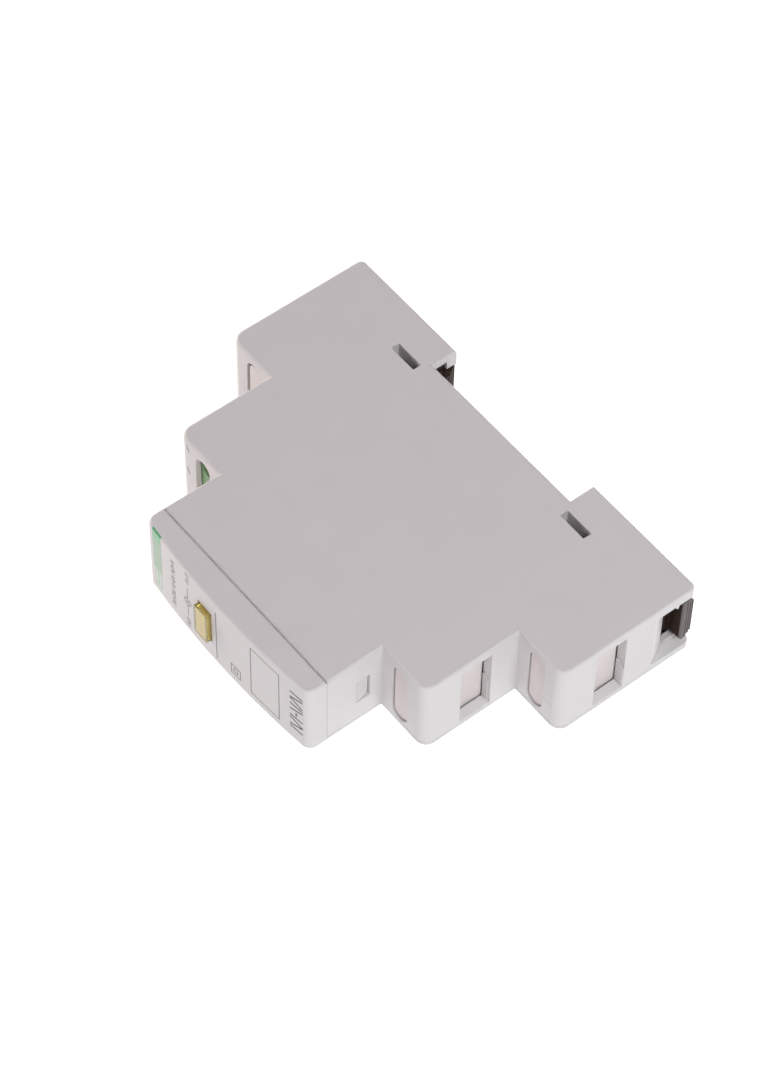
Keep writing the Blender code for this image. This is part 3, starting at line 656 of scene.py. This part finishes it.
def cut_ports(bm):
    """The screwdriver port in each ledge."""
    for side, step_x, _, ledge in bays():
        outline = obround(side * (step_x + PORT_CENTRE_X), PORT_WIDTH, *PORT_Z)
        prism(bm, outline, ledge - 1.0, ledge + LEDGE_WALL + 0.5, axis="y")


def cut_windows(bm):
    """The wire window in each outer wall."""
    for side, _, outer_x, ledge in bays():
        depths = (ledge + WINDOW_DEPTH[0], ledge + WINDOW_DEPTH[1])
        block(bm, sided(side, outer_x - END_WALL - 0.5, outer_x + 1.0), depths, WINDOW_Z)


def cut_ledge_lines(bm):
    """A fine line across each rear ledge, beside the port."""
    depths = (LOW_LEDGE - 0.3, LOW_LEDGE + 0.05)
    twin_blocks(bm, LOW_X - 4.6, LOW_X - 1.6, depths, LEDGE_LINE_Z)


def cut_hook_windows(bm):
    twin_blocks(bm, NOSE_X - WALL - 1.0, NOSE_X + 1.0, HOOK_DEPTH, HOOK_Z)


def cut_contact_notch(bm):
    """The way through the partition for the terminal block's contacts."""
    block(bm, (-NOSE_X - 1.5, -NOSE_X + 0.9), NOTCH_DEPTH, NOTCH_Z)


def cut_side_slots(bm):
    """Two slots through the side face's skin."""
    twin_blocks(bm, *SLOT_X, SLOT_DEPTH, (SKIN_Z - 4.0, WIDTH + 1.0))


def cut_latch_guides(bm):
    twin_blocks(bm, RECESS_X - 1.0, END_INNER, (RAIL_SEAT, LIP_DEPTH), (0.0, SKIN_Z))


def cut_latch_slots(bm):
    twin_blocks(bm, RECESS_X - 1.0, END_INNER, (LIP_DEPTH - 0.5, BACK + 1.0), (0.0, LIP_Z[1]))


def cut_end_openings(bm):
    twin_blocks(bm, END_INNER - 0.02, LOW_X + 1.0, (RAIL_SEAT, BACK + 1.0), SCOOP_Z)


def cut_scoops(bm):
    """A finger ramp that leads down the end wall to each latch's tab."""
    slope = END_WALL / (RAIL_SEAT - SCOOP_START)
    over = 0.5
    for side in (-1, 1):
        outline = [
            (side * (LOW_X + over), SCOOP_START - over / slope),
            (side * END_INNER, RAIL_SEAT),
            (side * END_INNER, RAIL_SEAT + over),
            (side * (LOW_X + over), RAIL_SEAT + over),
        ]
        prism(bm, outline, *SCOOP_Z)


def shell_edge(x, depth, z):
    """An edge's share of the usual rounding: none at the seam, on a nib or inside a latch's guide."""
    if abs(depth - SEAM - SEAM_GAP) < 0.03:
        return 0.0
    for outer_x, ledge in ((MID_X, MID_LEDGE), (LOW_X, LOW_LEDGE)):
        back = ledge + WINDOW_DEPTH[1]
        if abs(depth - back) < 0.6 and outer_x - 2.2 < x < outer_x - 0.02 and z < WINDOW_Z[1] - 0.2:
            return 0.0
    if depth > RAIL_SEAT - 0.4 and (x < LOW_X - 0.02 or depth > RAIL_SEAT + 0.2) and z < WIDTH - 1.0:
        return 0.0
    if abs(depth - LOW_LEDGE) < 0.1 and LEDGE_LINE_Z[0] - 0.05 < z < LEDGE_LINE_Z[1] + 0.08:
        return 0.0
    on_lip = SCOOP_START - 0.2 < depth < RAIL_SEAT - 0.1 and x > LOW_X - 1.6
    return 1.4 if on_lip and SCOOP_Z[0] - 0.1 < z < SCOOP_Z[1] + 0.1 else 1.0


def add_opening_sills(bm):
    """Closes each end opening below the latch's tab."""
    depths = (RAIL_SEAT - 0.3, BACK - 0.3)
    twin_blocks(bm, END_INNER - 1.1, END_INNER + 0.03, depths, (WALL + 0.3, TAB_SILL_Z))


def add_opening_teeth(bm):
    """A small tooth at each end opening's upper edge."""
    root = SCOOP_Z[1] + 0.3
    for side in (-1, 1):
        first, last = TOOTH_DEPTH
        tooth = [(first, TOOTH_Z[1]), (first + 0.4, TOOTH_Z[0]), (last, root), (first, root)]
        prism(bm, tooth, *sided(side, LOW_X - 0.9, LOW_X - 0.15), axis="x")


def nib_edge(centre, radii, foot, steps=6):
    """An arc from the nib's inner end, over its crest and down, then the foot's points."""
    first = math.acos((NIB_END - centre[0]) / radii[0])
    turns = [first + (math.pi - first) * i / steps for i in range(steps + 1)]
    arc = [(centre[0] + radii[0] * math.cos(t), centre[1] + radii[1] * math.sin(t)) for t in turns]
    return arc + foot


def window_nib(side, outer_x, back, edge):
    """The raised lower part of a window's back wall, and the groove along its curved edge."""
    points = [(side * (outer_x - inset), z) for inset, z in nib_edge(*edge)]
    floor = WINDOW_Z[0] - 0.2
    half_groove = 0.07

    def raised(bm):
        outline = points + [(points[-1][0], floor), (points[0][0], floor)]
        prism(bm, outline, back - 0.16, back + 0.3, axis="y")

    def groove(bm):
        upper, lower = [], []
        for i, (x, z) in enumerate(points):
            along = unit(points[max(i - 1, 0)], points[min(i + 1, len(points) - 1)])
            upper.append((x - along[1] * half_groove, z + along[0] * half_groove))
            lower.append((x + along[1] * half_groove, z - along[0] * half_groove))
        prism(bm, upper + lower[::-1], back - 0.5, back + 0.35, axis="y")

    return raised, groove


def add_latch_stops(bm):
    twin_blocks(bm, *STOP_X, (RAIL_SEAT - 0.5, LIP_DEPTH - 0.65), STOP_Z)


def make_casing(materials):
    def body(bm):
        prism(bm, casing_outline(), SPLIT_Z + SPLIT_GAP, WIDTH, round_high=EDGE_ROUND, segments=5)

    def cavity(bm):
        prism(bm, cavity_outline(SEAM - 1.0), -1.0, SKIN_Z)

    shell = start("casing_shell", body)
    shape(shell, "DIFFERENCE", cavity)
    shape(shell, "UNION", add_bay_walls, add_bay_backs, add_scoop_blocks, add_peg_bosses)
    shape(shell, "UNION", add_board_pins, add_seam_tongue, add_slot_collars)
    shape(shell, "DIFFERENCE", cut_peg_holes, cut_ports, cut_windows, cut_hook_windows)
    shape(shell, "DIFFERENCE", cut_ledge_lines)
    shape(shell, "DIFFERENCE", cut_contact_notch, cut_side_slots, cut_latch_guides)
    shape(shell, "DIFFERENCE", cut_latch_slots, cut_end_openings, cut_scoops)
    shape(shell, "UNION", add_latch_stops, add_opening_sills, add_opening_teeth)
    for side in (-1, 1):
        for outer_x, ledge, edge in ((MID_X, MID_LEDGE, MID_NIB), (LOW_X, LOW_LEDGE, LOW_NIB)):
            raised, groove = window_nib(side, outer_x, ledge + WINDOW_DEPTH[1], edge)
            shape(shell, "UNION", raised)
            shape(shell, "DIFFERENCE", groove)
    soften(shell, 0.1, weigh=shell_edge)
    finish_piece(shell, "casing", materials["casing"], ["case_main_shell"])
    lighten_recesses(shell, materials["recess"], materials["ramp"])


def make_side_cover(materials):
    def plate(bm):
        prism(bm, casing_outline(), 0.0, SPLIT_Z, round_low=EDGE_ROUND, segments=5)

    def step(bm):
        prism(bm, cavity_outline(SEAM + 0.3, 0.3), 0.4, WALL)

    def pegs(bm):
        for place in COVER_PEGS:
            prism(bm, circle(place, 1.0, 16), SPLIT_Z - 0.2, 8.0)
        for place in BOARD_PEGS:
            prism(bm, circle(place, 1.8), SPLIT_Z - 0.2, BOARD_LOW[2] - 0.3)

    def lips(bm):
        """The lower half of each latch guide's lip, which the shell leaves open."""
        twin_blocks(bm, RECESS_X, END_INNER - 1.4, (LIP_DEPTH + 0.3, BACK), (0.5, LIP_Z[0]))

    cover = start("casing_cover", plate)
    shape(cover, "UNION", step, pegs, lips)
    soften(cover, 0.08)
    finish_piece(cover, "casing", materials["casing"], ["case_side_cover"])


def front_depth(x):
    """How far the curved front lies behind its crown."""
    return x * x / (2 * FRONT_RADIUS)


def front_outline():
    """The front panel's profile: a shallow arc between two round corners."""
    corner_x = NOSE_X - FRONT_CORNER
    corner_depth = front_depth(corner_x) + FRONT_CORNER
    steps = 8
    corner = []
    for i in range(steps + 1):
        turn = math.pi / 2 * i / steps
        x, rise = corner_x + FRONT_CORNER * math.cos(turn), FRONT_CORNER * math.sin(turn)
        corner.append((x, corner_depth - rise))
    points = 20
    crown = [corner_x * (1 - 2 * i / points) for i in range(1, points)]
    return (
        [(NOSE_X, SEAM)]
        + corner
        + [(x, front_depth(x)) for x in crown]
        + [(-x, depth) for x, depth in reversed(corner)]
        + [(-NOSE_X, SEAM)]
    )


def make_front_panel(materials):
    def cap(bm):
        rims = {"round_low": EDGE_ROUND, "round_high": EDGE_ROUND}
        prism(bm, front_outline(), 0.0, WIDTH, segments=5, **rims)

    def inside(bm):
        inner = NOSE_X - WALL
        block(bm, (-inner, inner), (FRONT_INNER, SEAM + 1.0), (WALL, SKIN_Z))

    def rebate(bm):
        """Room for the casing's tongue behind the seam."""
        outer = NOSE_X - 0.5
        block(bm, (-outer, outer), (SEAM - 0.8, SEAM + 1.0), (WALL + 0.2, WIDTH - 0.5))

    def lens_hole(bm):
        half_x = LENS_HALF_X + 0.12
        half_z = LENS_HALF_Z + 0.12
        xs = (LENS_X - half_x, LENS_X + half_x)
        block(bm, xs, (-1.0, FRONT_INNER + 1.0), (MID_Z - half_z, MID_Z + half_z))

    def legs(bm):
        """Two snap legs: a wedge at each one's end shows in the window in the nose's end wall."""
        outer = NOSE_X - WALL - 0.3
        for side in (-1, 1):
            outline = [
                (outer - 1.2, FRONT_INNER - 0.4),
                (outer, FRONT_INNER - 0.4),
                (outer, HOOK_DEPTH[0] + 0.01),
                (NOSE_X - 0.01, HOOK_DEPTH[0] + 0.01),
                (NOSE_X - 0.62, HOOK_DEPTH[1] - 0.10),
                (outer, HOOK_DEPTH[1] - 0.02),
                (outer - 1.2, HOOK_DEPTH[1] - 0.02),
            ]
            zs = (HOOK_Z[0] + 0.12, HOOK_Z[1] - 0.04)
            prism(bm, [(side * x, depth) for x, depth in outline], *zs)

    panel = start("front_panel", cap)
    shape(panel, "DIFFERENCE", inside, rebate, lens_hole)
    shape(panel, "UNION", legs)
    soften(panel, 0.07, weigh=lambda x, depth, z: abs(depth - SEAM) > 0.02)
    finish_piece(panel, "casing", materials["casing"], ["front_cover"])


def make_lens(materials):
    """The lens: a clear yellow hood with a rounded top rim, over a paler, milky core."""

    def rectangle(inset, radius):
        x, z = LENS_HALF_X - inset, LENS_HALF_Z - inset
        corners = ((1, -1), (1, 1), (-1, 1), (-1, -1))
        return rounded([(LENS_X + x * i, MID_Z + z * k, radius) for i, k in corners], 5)

    def window(bm):
        outline = rectangle(0.0, 0.55)
        prism(bm, outline, LENS_LOW[1], FRONT_INNER + 0.8, axis="y", round_low=0.1, segments=2)

    def hollow(bm):
        prism(bm, rectangle(0.5, 0.3), LENS_LOW[1] + 0.35, LENS_HIGH[1] + 1.0, axis="y")

    def flange(bm):
        xs, _, zs = zip(LENS_LOW, LENS_HIGH)
        block(bm, xs, (FRONT_INNER + 0.3, LENS_HIGH[1]), zs)

    def core(bm):
        prism(bm, rectangle(0.58, 0.25), LENS_LOW[1] + 0.40, FRONT_INNER - 0.2, axis="y")

    diffuser = start("lens_diffuser", core)
    soften(diffuser, 0.08)
    finish_piece(diffuser, "casing", materials["diffuser"])
    lens = start("lens_window", window)
    shape(lens, "UNION", flange)
    shape(lens, "DIFFERENCE", hollow)
    soften(lens, 0.05)
    finish_piece(lens, "casing", materials["lens"], ["indicator_lens"])


# ---------------------------------------------------------------- bays


def make_blank(name, node, side, step_x, outer_x, ledge, fit, materials):
    """An L-shaped filler: its pad stands in the port, its end behind the wire window.

    fit is the pad's play across the port, its offset outward and its depth below the ledge.
    """
    play, offset, sunk = fit
    front = ledge + LEDGE_WALL + 0.3
    thick = 1.2
    inner = step_x + 1.3
    outer = outer_x - END_WALL - 0.2
    end = ledge + WINDOW_DEPTH[1] - 0.09
    zs = (PORT_Z[0] + 0.12, PORT_Z[1] - 0.3)

    def corner(bm):
        outline = [
            (inner, front),
            (outer, front),
            (outer, end),
            (outer - thick, end),
            (outer - thick, front + thick),
            (inner, front + thick),
        ]
        prism(bm, [(side * x, depth) for x, depth in outline], *zs)

    def pad(bm):
        outline = obround(side * (step_x + PORT_CENTRE_X + offset), PORT_WIDTH - play, *zs)
        prism(bm, outline, ledge + sunk, front + 0.5, axis="y", round_low=0.08, segments=2)

    blank = start(name, corner)
    shape(blank, "UNION", pad)
    soften(blank, 0.06)
    finish_piece(blank, "casing", materials["blank"], [node])


# ---------------------------------------------------------------- rail latches


def make_latch(name, node, body, side, materials):
    flange_depth = (RAIL_SEAT + 0.3, LIP_DEPTH - 0.3)
    back = BACK - 0.2
    low, high = TONGUE_Z

    def flange(bm):
        block(bm, sided(side, RECESS_X + 0.3, FLANGE_END), flange_depth, (WALL + 0.4, SKIN_Z - 0.4))

    def neck(bm):
        xs = sided(side, FLANGE_END - 0.3, NECK_END)
        block(bm, xs, flange_depth, (TAB_SILL_Z + 0.3, SCOOP_Z[1] - 0.4))

    def tongue(bm):
        block(bm, sided(side, RECESS_X + 0.1, TONGUE_END), (flange_depth[1] - 0.3, back), TONGUE_Z)

    def hook(bm):
        tip = RECESS_X - 1.2
        outline = [
            (RECESS_X + 0.8, RAIL_SEAT + 1.2),
            (tip, RAIL_SEAT + 1.2),
            (tip, RAIL_SEAT + 2.8),
            (RECESS_X + 0.3, back),
            (RECESS_X + 0.8, back),
        ]
        prism(bm, [(side * x, depth) for x, depth in outline], *TONGUE_Z)

    def tab(bm):
        """The tab narrows to a blunt point at its lower edge."""
        top = SCOOP_Z[1] - 0.5
        outline = [
            (TAB_FRONT, low + 0.2), (TAB_FRONT + 0.5, low - 0.5), (TAB_FRONT + 1.1, low - 0.6),
            (back, low + 1.0), (back, high), (back - 0.5, top), (TAB_FRONT, top),
        ]
        prism(bm, outline, *sided(side, END_INNER + 0.2, LOW_X - 0.1), axis="x")

    def tab_root(bm):
        outline = [(TAB_FRONT, low), (TAB_FRONT, high), (back, high), (back, low)]
        prism(bm, outline, *sided(side, TONGUE_END - 1.0, END_INNER + 0.4), axis="x")

    def tab_grooves(bm):
        """Upright grooves in the tab's outer face, for a finger's hold."""
        for depth in GROOVE_DEPTHS:
            depths = (depth - GROOVE_WIDTH / 2, depth + GROOVE_WIDTH / 2)
            block(bm, sided(side, LOW_X - 0.22, LOW_X + 0.2), depths, (3.0, high + 0.4))

    def stop_pocket(bm):
        xs = sided(side, STOP_X[0] - LATCH_TRAVEL - 0.6, STOP_X[1] + 0.3)
        block(bm, xs, (RAIL_SEAT - 1.0, flange_depth[1]), (STOP_Z[0] - 0.3, STOP_Z[1] + 0.3))

    def leg_slots(bm):
        xs = sided(side, RECESS_X - 0.5, FLANGE_END - 1.1)
        for zs in ((2.9, 3.6), (13.9, 14.6)):
            block(bm, xs, (RAIL_SEAT - 1.0, LIP_DEPTH + 1.0), zs)

    def tab_edge(x, depth, z):
        """The tab's outer front edge is well rounded."""
        on_edge = x > LOW_X - 0.2 and abs(depth - TAB_FRONT) < 0.05
        return 5.5 if on_edge and 5.0 < z < high else 1.0

    latch = start(name, flange)
    shape(latch, "UNION", neck, tongue, hook, tab_root, tab)
    shape(latch, "DIFFERENCE", stop_pocket, leg_slots, tab_grooves)
    soften(latch, 0.08, segments=3, weigh=tab_edge)
    finish_piece(latch, body, materials["latch"], [node])
    # The tab's outer faces get a lighter, glossier copy of the latch brown: painted light on the lit
    # face.
    latch.data.materials.append(materials["lit_face_painted_light"])
    for face in latch.data.polygons:
        if abs(face.center.x) / MM > LOW_X - 0.35 and abs(face.normal.x) > 0.3:
            face.material_index = 1


# ---------------------------------------------------------------- printed marks

PRINT_LIFT = 0.015
PRINT_SINK = 0.05
BAND_X = (-20.3, -17.6)
BAND_Z = (6.6, 14.9)
BAND_TURN_Z = WIDTH - EDGE_ROUND + 0.1
SMALL_TEXT_X = -13.9
LARGE_TEXT_X = 19.4
LAMP_X = -9.5
LAMP_Z = 8.6
FINE_LINE = 0.17


def front_point(x, z, lift):
    """A point that stands proud of the curved front, and follows its rounded upper edge."""
    depth = front_depth(x)
    over = z - (WIDTH - EDGE_ROUND)
    if over <= 0:
        return at(x, depth - lift, z)
    turn = min(over / EDGE_ROUND, math.pi / 2)
    reach = EDGE_ROUND + lift
    side_run = max(0.0, over - EDGE_ROUND * math.pi / 2)
    depth += EDGE_ROUND - reach * math.cos(turn) + side_run
    return at(x, depth, WIDTH - EDGE_ROUND + reach * math.sin(turn))


def add_patch(bm, xs, zs, step=0.25):
    """A closed printed rectangle that lies on the curved front."""
    count_x = max(1, round((xs[1] - xs[0]) / (4 * step)))
    count_z = max(1, round((zs[1] - zs[0]) / step)) if zs[1] > WIDTH - EDGE_ROUND else 1
    across = [xs[0] + (xs[1] - xs[0]) * i / count_x for i in range(count_x + 1)]
    along = [zs[0] + (zs[1] - zs[0]) * k / count_z for k in range(count_z + 1)]
    sheets = [
        [[bm.verts.new(front_point(x, z, lift)) for z in along] for x in across]
        for lift in (PRINT_LIFT, -PRINT_SINK)
    ]
    faces = []
    for sheet in sheets:
        for i in range(count_x):
            for k in range(count_z):
                corners = (sheet[i][k], sheet[i + 1][k], sheet[i + 1][k + 1], sheet[i][k + 1])
                faces.append(bm.faces.new(corners))
    top, bottom = sheets
    rim = (
        [(i, 0) for i in range(count_x)]
        + [(count_x, k) for k in range(count_z)]
        + [(i, count_z) for i in range(count_x, 0, -1)]
        + [(0, k) for k in range(count_z, 0, -1)]
    )
    for (i, k), (m, n) in zip(rim, rim[1:] + rim[:1]):
        faces.append(bm.faces.new((top[i][k], top[m][n], bottom[m][n], bottom[i][k])))
    bmesh.ops.recalc_face_normals(bm, faces=faces)


def add_ring(bm, centre, inner, outer, count=28):
    """A printed ring on the curved front."""
    loops = []
    for radius, lift in (
        (outer, PRINT_LIFT), (inner, PRINT_LIFT), (inner, -PRINT_SINK), (outer, -PRINT_SINK),
    ):
        loops.append([bm.verts.new(front_point(x, z, lift)) for x, z in circle(centre, radius, count)])
    faces = []
    for first, second in zip(loops, loops[1:] + loops[:1]):
        for i in range(count):
            j = (i + 1) % count
            faces.append(bm.faces.new((first[i], first[j], second[j], second[i])))
    bmesh.ops.recalc_face_normals(bm, faces=faces)


def add_stroke(bm, first, second, width):
    """A straight printed stroke between two points (x, z)."""
    along = unit(first, second)
    across = (-along[1] * width / 2, along[0] * width / 2)
    corners = [
        (first[0] + across[0], first[1] + across[1]),
        (first[0] - across[0], first[1] - across[1]),
        (second[0] - across[0], second[1] - across[1]),
        (second[0] + across[0], second[1] + across[1]),
    ]
    top = [bm.verts.new(front_point(x, z, PRINT_LIFT)) for x, z in corners]
    bottom = [bm.verts.new(front_point(x, z, -PRINT_SINK)) for x, z in corners]
    faces = [bm.faces.new(top), bm.faces.new(bottom)]
    for i in range(4):
        j = (i + 1) % 4
        faces.append(bm.faces.new((top[i], top[j], bottom[j], bottom[i])))
    bmesh.ops.recalc_face_normals(bm, faces=faces)


def add_frame(bm, xs, zs, width):
    add_patch(bm, xs, (zs[0], zs[0] + width))
    add_patch(bm, xs, (zs[1] - width, zs[1]))
    for x in (xs[0], xs[1] - width):
        add_patch(bm, (x, x + width), (zs[0] + width, zs[1] - width))


def add_marks(bm, x, height, start_z, pattern, pitch, width):
    """A row of plain strokes along Z that stand in for print: upright, leaning, short or none."""
    low, high = x - height / 2, x + height / 2
    lean = pitch * 0.42
    strokes = {
        "I": ((low, 0.0), (high, 0.0)),
        "/": ((low, -lean), (high, lean)),
        "b": ((low, lean), (high, -lean)),
        "-": ((x, -lean), (x, lean)),
        "i": ((x, 0.0), (high, 0.0)),
    }
    for i, kind in enumerate(pattern):
        if kind in strokes:
            z = start_z + i * pitch
            (x1, z1), (x2, z2) = strokes[kind]
            add_stroke(bm, (x1, z + z1), (x2, z + z2), width)


def make_prints(materials):
    def grey_marks(bm):
        add_marks(bm, SMALL_TEXT_X, 1.15, 2.8, "I/I-bI/I /I-Ib/ I/bI-I/", 0.56, FINE_LINE)
        add_marks(bm, LAMP_X + 0.1, 1.2, 14.1, "I/-bI", 0.6, 0.14)
        add_marks(bm, LAMP_X + 0.1, 1.1, 1.9, "I/bI", 0.6, 0.14)
        add_marks(bm, LARGE_TEXT_X, 3.0, 3.6, "I/bI-/Ib/I", 1.12, 0.36)

    def symbol(bm):
        """The plain symbol for double insulation: a square in a square."""
        for half in (1.3, 0.6):
            add_frame(bm, (4.0 - half, 4.0 + half), (3.6 - half, 3.6 + half), FINE_LINE)

    def ledge_ticks(bm):
        """A plain tick beside each pole of the open terminal bay."""
        for z in (15.2, 9.0):
            outline = [(-31.75, z + 0.75), (-31.4, z + 0.6), (-30.7, z - 0.65), (-31.05, z - 0.5)]
            prism(bm, outline, MID_LEDGE - PRINT_LIFT, MID_LEDGE + PRINT_SINK, axis="y")

    def line_marks(bm):
        """A line beside the lens, an empty frame, and a lamp's circuit symbol on its wire."""
        add_patch(bm, (-1.32, -1.12), (1.5, 15.0))
        add_frame(bm, (8.0, 15.3), (2.0, 15.3), FINE_LINE)
        add_ring(bm, (LAMP_X, LAMP_Z), 0.85, 1.0)
        reach = 0.62
        for lean in (-reach, reach):
            add_stroke(bm, (LAMP_X - reach, LAMP_Z - lean), (LAMP_X + reach, LAMP_Z + lean), 0.12)
        for near, far in ((1.0, 4.0), (-1.0, -4.0)):
            add_stroke(bm, (LAMP_X, LAMP_Z + near), (LAMP_X, LAMP_Z + far), 0.14)

    def green_outline(bm):
        add_frame(bm, (-20.1, -17.8), (2.0, 6.0), 0.3)
        add_patch(bm, (-19.2, -18.7), (2.3, 5.7))

    def band(*zs):
        return lambda bm: add_patch(bm, BAND_X, zs)

    for name, build, surface in (
        ("print_marks", grey_marks, "ink_grey"),
        ("print_ticks", ledge_ticks, "ink_grey"),
        ("print_lines", line_marks, "ink_line"),
        ("print_symbol", symbol, "ink_line"),
        # One green ink: its upper part and its turn over the rounded edge use darker copies, painted
        # shade.
        ("print_band", band(*BAND_Z), "ink_green"),
        ("print_band_upper", band(BAND_Z[1], BAND_TURN_Z), "ink_green_half_painted_shade"),
        ("print_band_edge", band(BAND_TURN_Z, WIDTH + 0.1), "ink_green_painted_shade"),
        ("print_band_outline", green_outline, "ink_green_faint"),
    ):
        mark = start(name, build)
        mark.data.shade_smooth()
        mark.data.set_sharp_from_angle(angle=math.radians(38))
        finish_piece(mark, "casing", materials[surface])


# ---------------------------------------------------------------- carried-over CAD nodes


def dress_cad_nodes(materials):
    """The inner pieces keep their CAD shape and get their finish here."""
    finishes = {
        "led": ["led"],
        "black": ["led_holder", "bridge_rectifier"],
        "board": ["circuit_board"],
        "film": ["dropper_capacitor"],
        "can": ["smoothing_capacitor"],
        "series": ["series_resistor"],
        "bleed": ["bleed_resistor"],
        "terminal": ["terminal_block"],
        "zinc": ["terminal_screw_1", "terminal_screw_2", "clamp_cage_1", "clamp_cage_2"],
        "tin": ["terminal_contact_1", "terminal_contact_2"],
    }
    for surface, nodes in finishes.items():
        for node in nodes:
            mesh = frame["nodes"][node].data
            mesh.materials.clear()
            mesh.materials.append(materials[surface])


# ---------------------------------------------------------------- stage, light and camera


def make_floor():
    size = 4.0
    bm = bmesh.new()
    bmesh.ops.create_grid(bm, x_segments=1, y_segments=1, size=size)
    bmesh.ops.translate(bm, verts=bm.verts, vec=(0, 0, -0.0002))
    floor = new_object("floor", bm)
    made, _, shader = new_material("floor_white")
    set_inputs(shader, {"Base Color": (0.3, 0.3, 0.3, 1.0), "Roughness": 1.0, "Specular IOR Level": 0.0})
    set_inputs(shader, {"Emission Color": (1.0, 1.0, 1.0, 1.0), "Emission Strength": 0.97})
    floor.data.materials.append(made)


def aim(obj, place, target):
    obj.location = place
    obj.rotation_euler = (Vector(target) - Vector(place)).to_track_quat("-Z", "Y").to_euler()


def make_world():
    """A faint even light from all round, in front of a backdrop as pale as the floor."""
    world = bpy.data.worlds.new("studio")
    world.use_nodes = True
    tree = world.node_tree
    fill = tree.nodes["Background"]
    set_inputs(fill, {"Color": (1.0, 0.985, 0.985, 1.0), "Strength": 0.05})
    backdrop = tree.nodes.new("ShaderNodeBackground")
    set_inputs(backdrop, {"Color": (1.0, 1.0, 1.0, 1.0), "Strength": 0.97})
    rays = tree.nodes.new("ShaderNodeLightPath")
    mix = tree.nodes.new("ShaderNodeMixShader")
    tree.links.new(rays.outputs["Is Camera Ray"], mix.inputs["Fac"])
    tree.links.new(fill.outputs["Background"], mix.inputs[1])
    tree.links.new(backdrop.outputs["Background"], mix.inputs[2])
    tree.links.new(mix.outputs["Shader"], tree.nodes["World Output"].inputs["Surface"])
    bpy.context.scene.world = world


def make_lights():
    make_world()
    for name, place, size, power, colour in (
        ("overhead", (-0.10, 0.35, 1.20), 1.0, 3.9, (0.96, 0.86, 1.0)),
        ("key", (0.64, -0.05, 0.61), 0.35, 4.45, (0.97, 1.0, 0.99)),
        ("front", (0.15, -0.75, 0.15), 0.5, 1.35, (1.0, 0.89, 0.93)),
        ("left", (-0.85, -0.12, 0.12), 0.3, 8.2, (1.0, 0.87, 0.79)),
        ("back", (0.10, 0.80, 0.35), 0.6, 0.8, (1.0, 1.0, 1.0)),
    ):
        lamp = bpy.data.lights.new(name, "AREA")
        lamp.shape = "SQUARE"
        lamp.size = size
        lamp.energy = power
        lamp.color = colour
        obj = bpy.data.objects.new(name, lamp)
        bpy.context.scene.collection.objects.link(obj)
        aim(obj, place, (0, 0, 0.009))


def make_camera():
    """A long lens above the front and the bottom end, tipped a little about its own axis."""
    azimuth = math.radians(50.412)
    elevation = math.radians(53.994)
    roll = math.radians(1.440)
    distance = 629.91
    target = Vector((-4.45, 7.99, 0.0))
    level = math.cos(elevation)
    back = Vector((math.sin(azimuth) * level, -math.cos(azimuth) * level, math.sin(elevation)))
    place = (target + back * distance) * MM
    right = (-back).cross(Vector((0, 0, 1))).normalized()
    up = right.cross(-back)
    turned_right = right * math.cos(roll) + up * math.sin(roll)
    turned_up = up * math.cos(roll) - right * math.sin(roll)
    lens = bpy.data.cameras.new("camera")
    lens.lens = 122.73
    lens.sensor_width = 36.0
    lens.clip_start = 0.01
    lens.clip_end = 20.0
    camera = bpy.data.objects.new("camera", lens)
    rows = [(turned_right[n], turned_up[n], back[n], place[n]) for n in range(3)]
    camera.matrix_world = Matrix(rows + [(0, 0, 0, 1)])
    bpy.context.scene.collection.objects.link(camera)
    bpy.context.scene.camera = camera


def main():
    bpy.context.scene.view_settings.view_transform = "Standard"
    materials = make_materials()
    make_casing(materials)
    make_side_cover(materials)
    make_front_panel(materials)
    make_lens(materials)
    for name, node, side, step_x, outer_x, ledge, fit in (
        ("filler_top_rear", "blank_top_rear", -1, MID_X, LOW_X, LOW_LEDGE, (0.72, -0.3, 0.1)),
        ("filler_bottom_front", "blank_bottom_front", 1, NOSE_X, MID_X, MID_LEDGE, (0.3, 0.05, 0.42)),
        ("filler_bottom_rear", "blank_bottom_rear", 1, MID_X, LOW_X, LOW_LEDGE, (0.3, 0.05, 0.42)),
    ):
        make_blank(name, node, side, step_x, outer_x, ledge, fit, materials)
    make_latch("latch_top", "rail_latch_top", "latch_top", -1, materials)
    make_latch("latch_bottom", "rail_latch_bottom", "latch_bottom", 1, materials)
    make_prints(materials)
    dress_cad_nodes(materials)
    make_floor()
    make_lights()
    make_camera()


main()
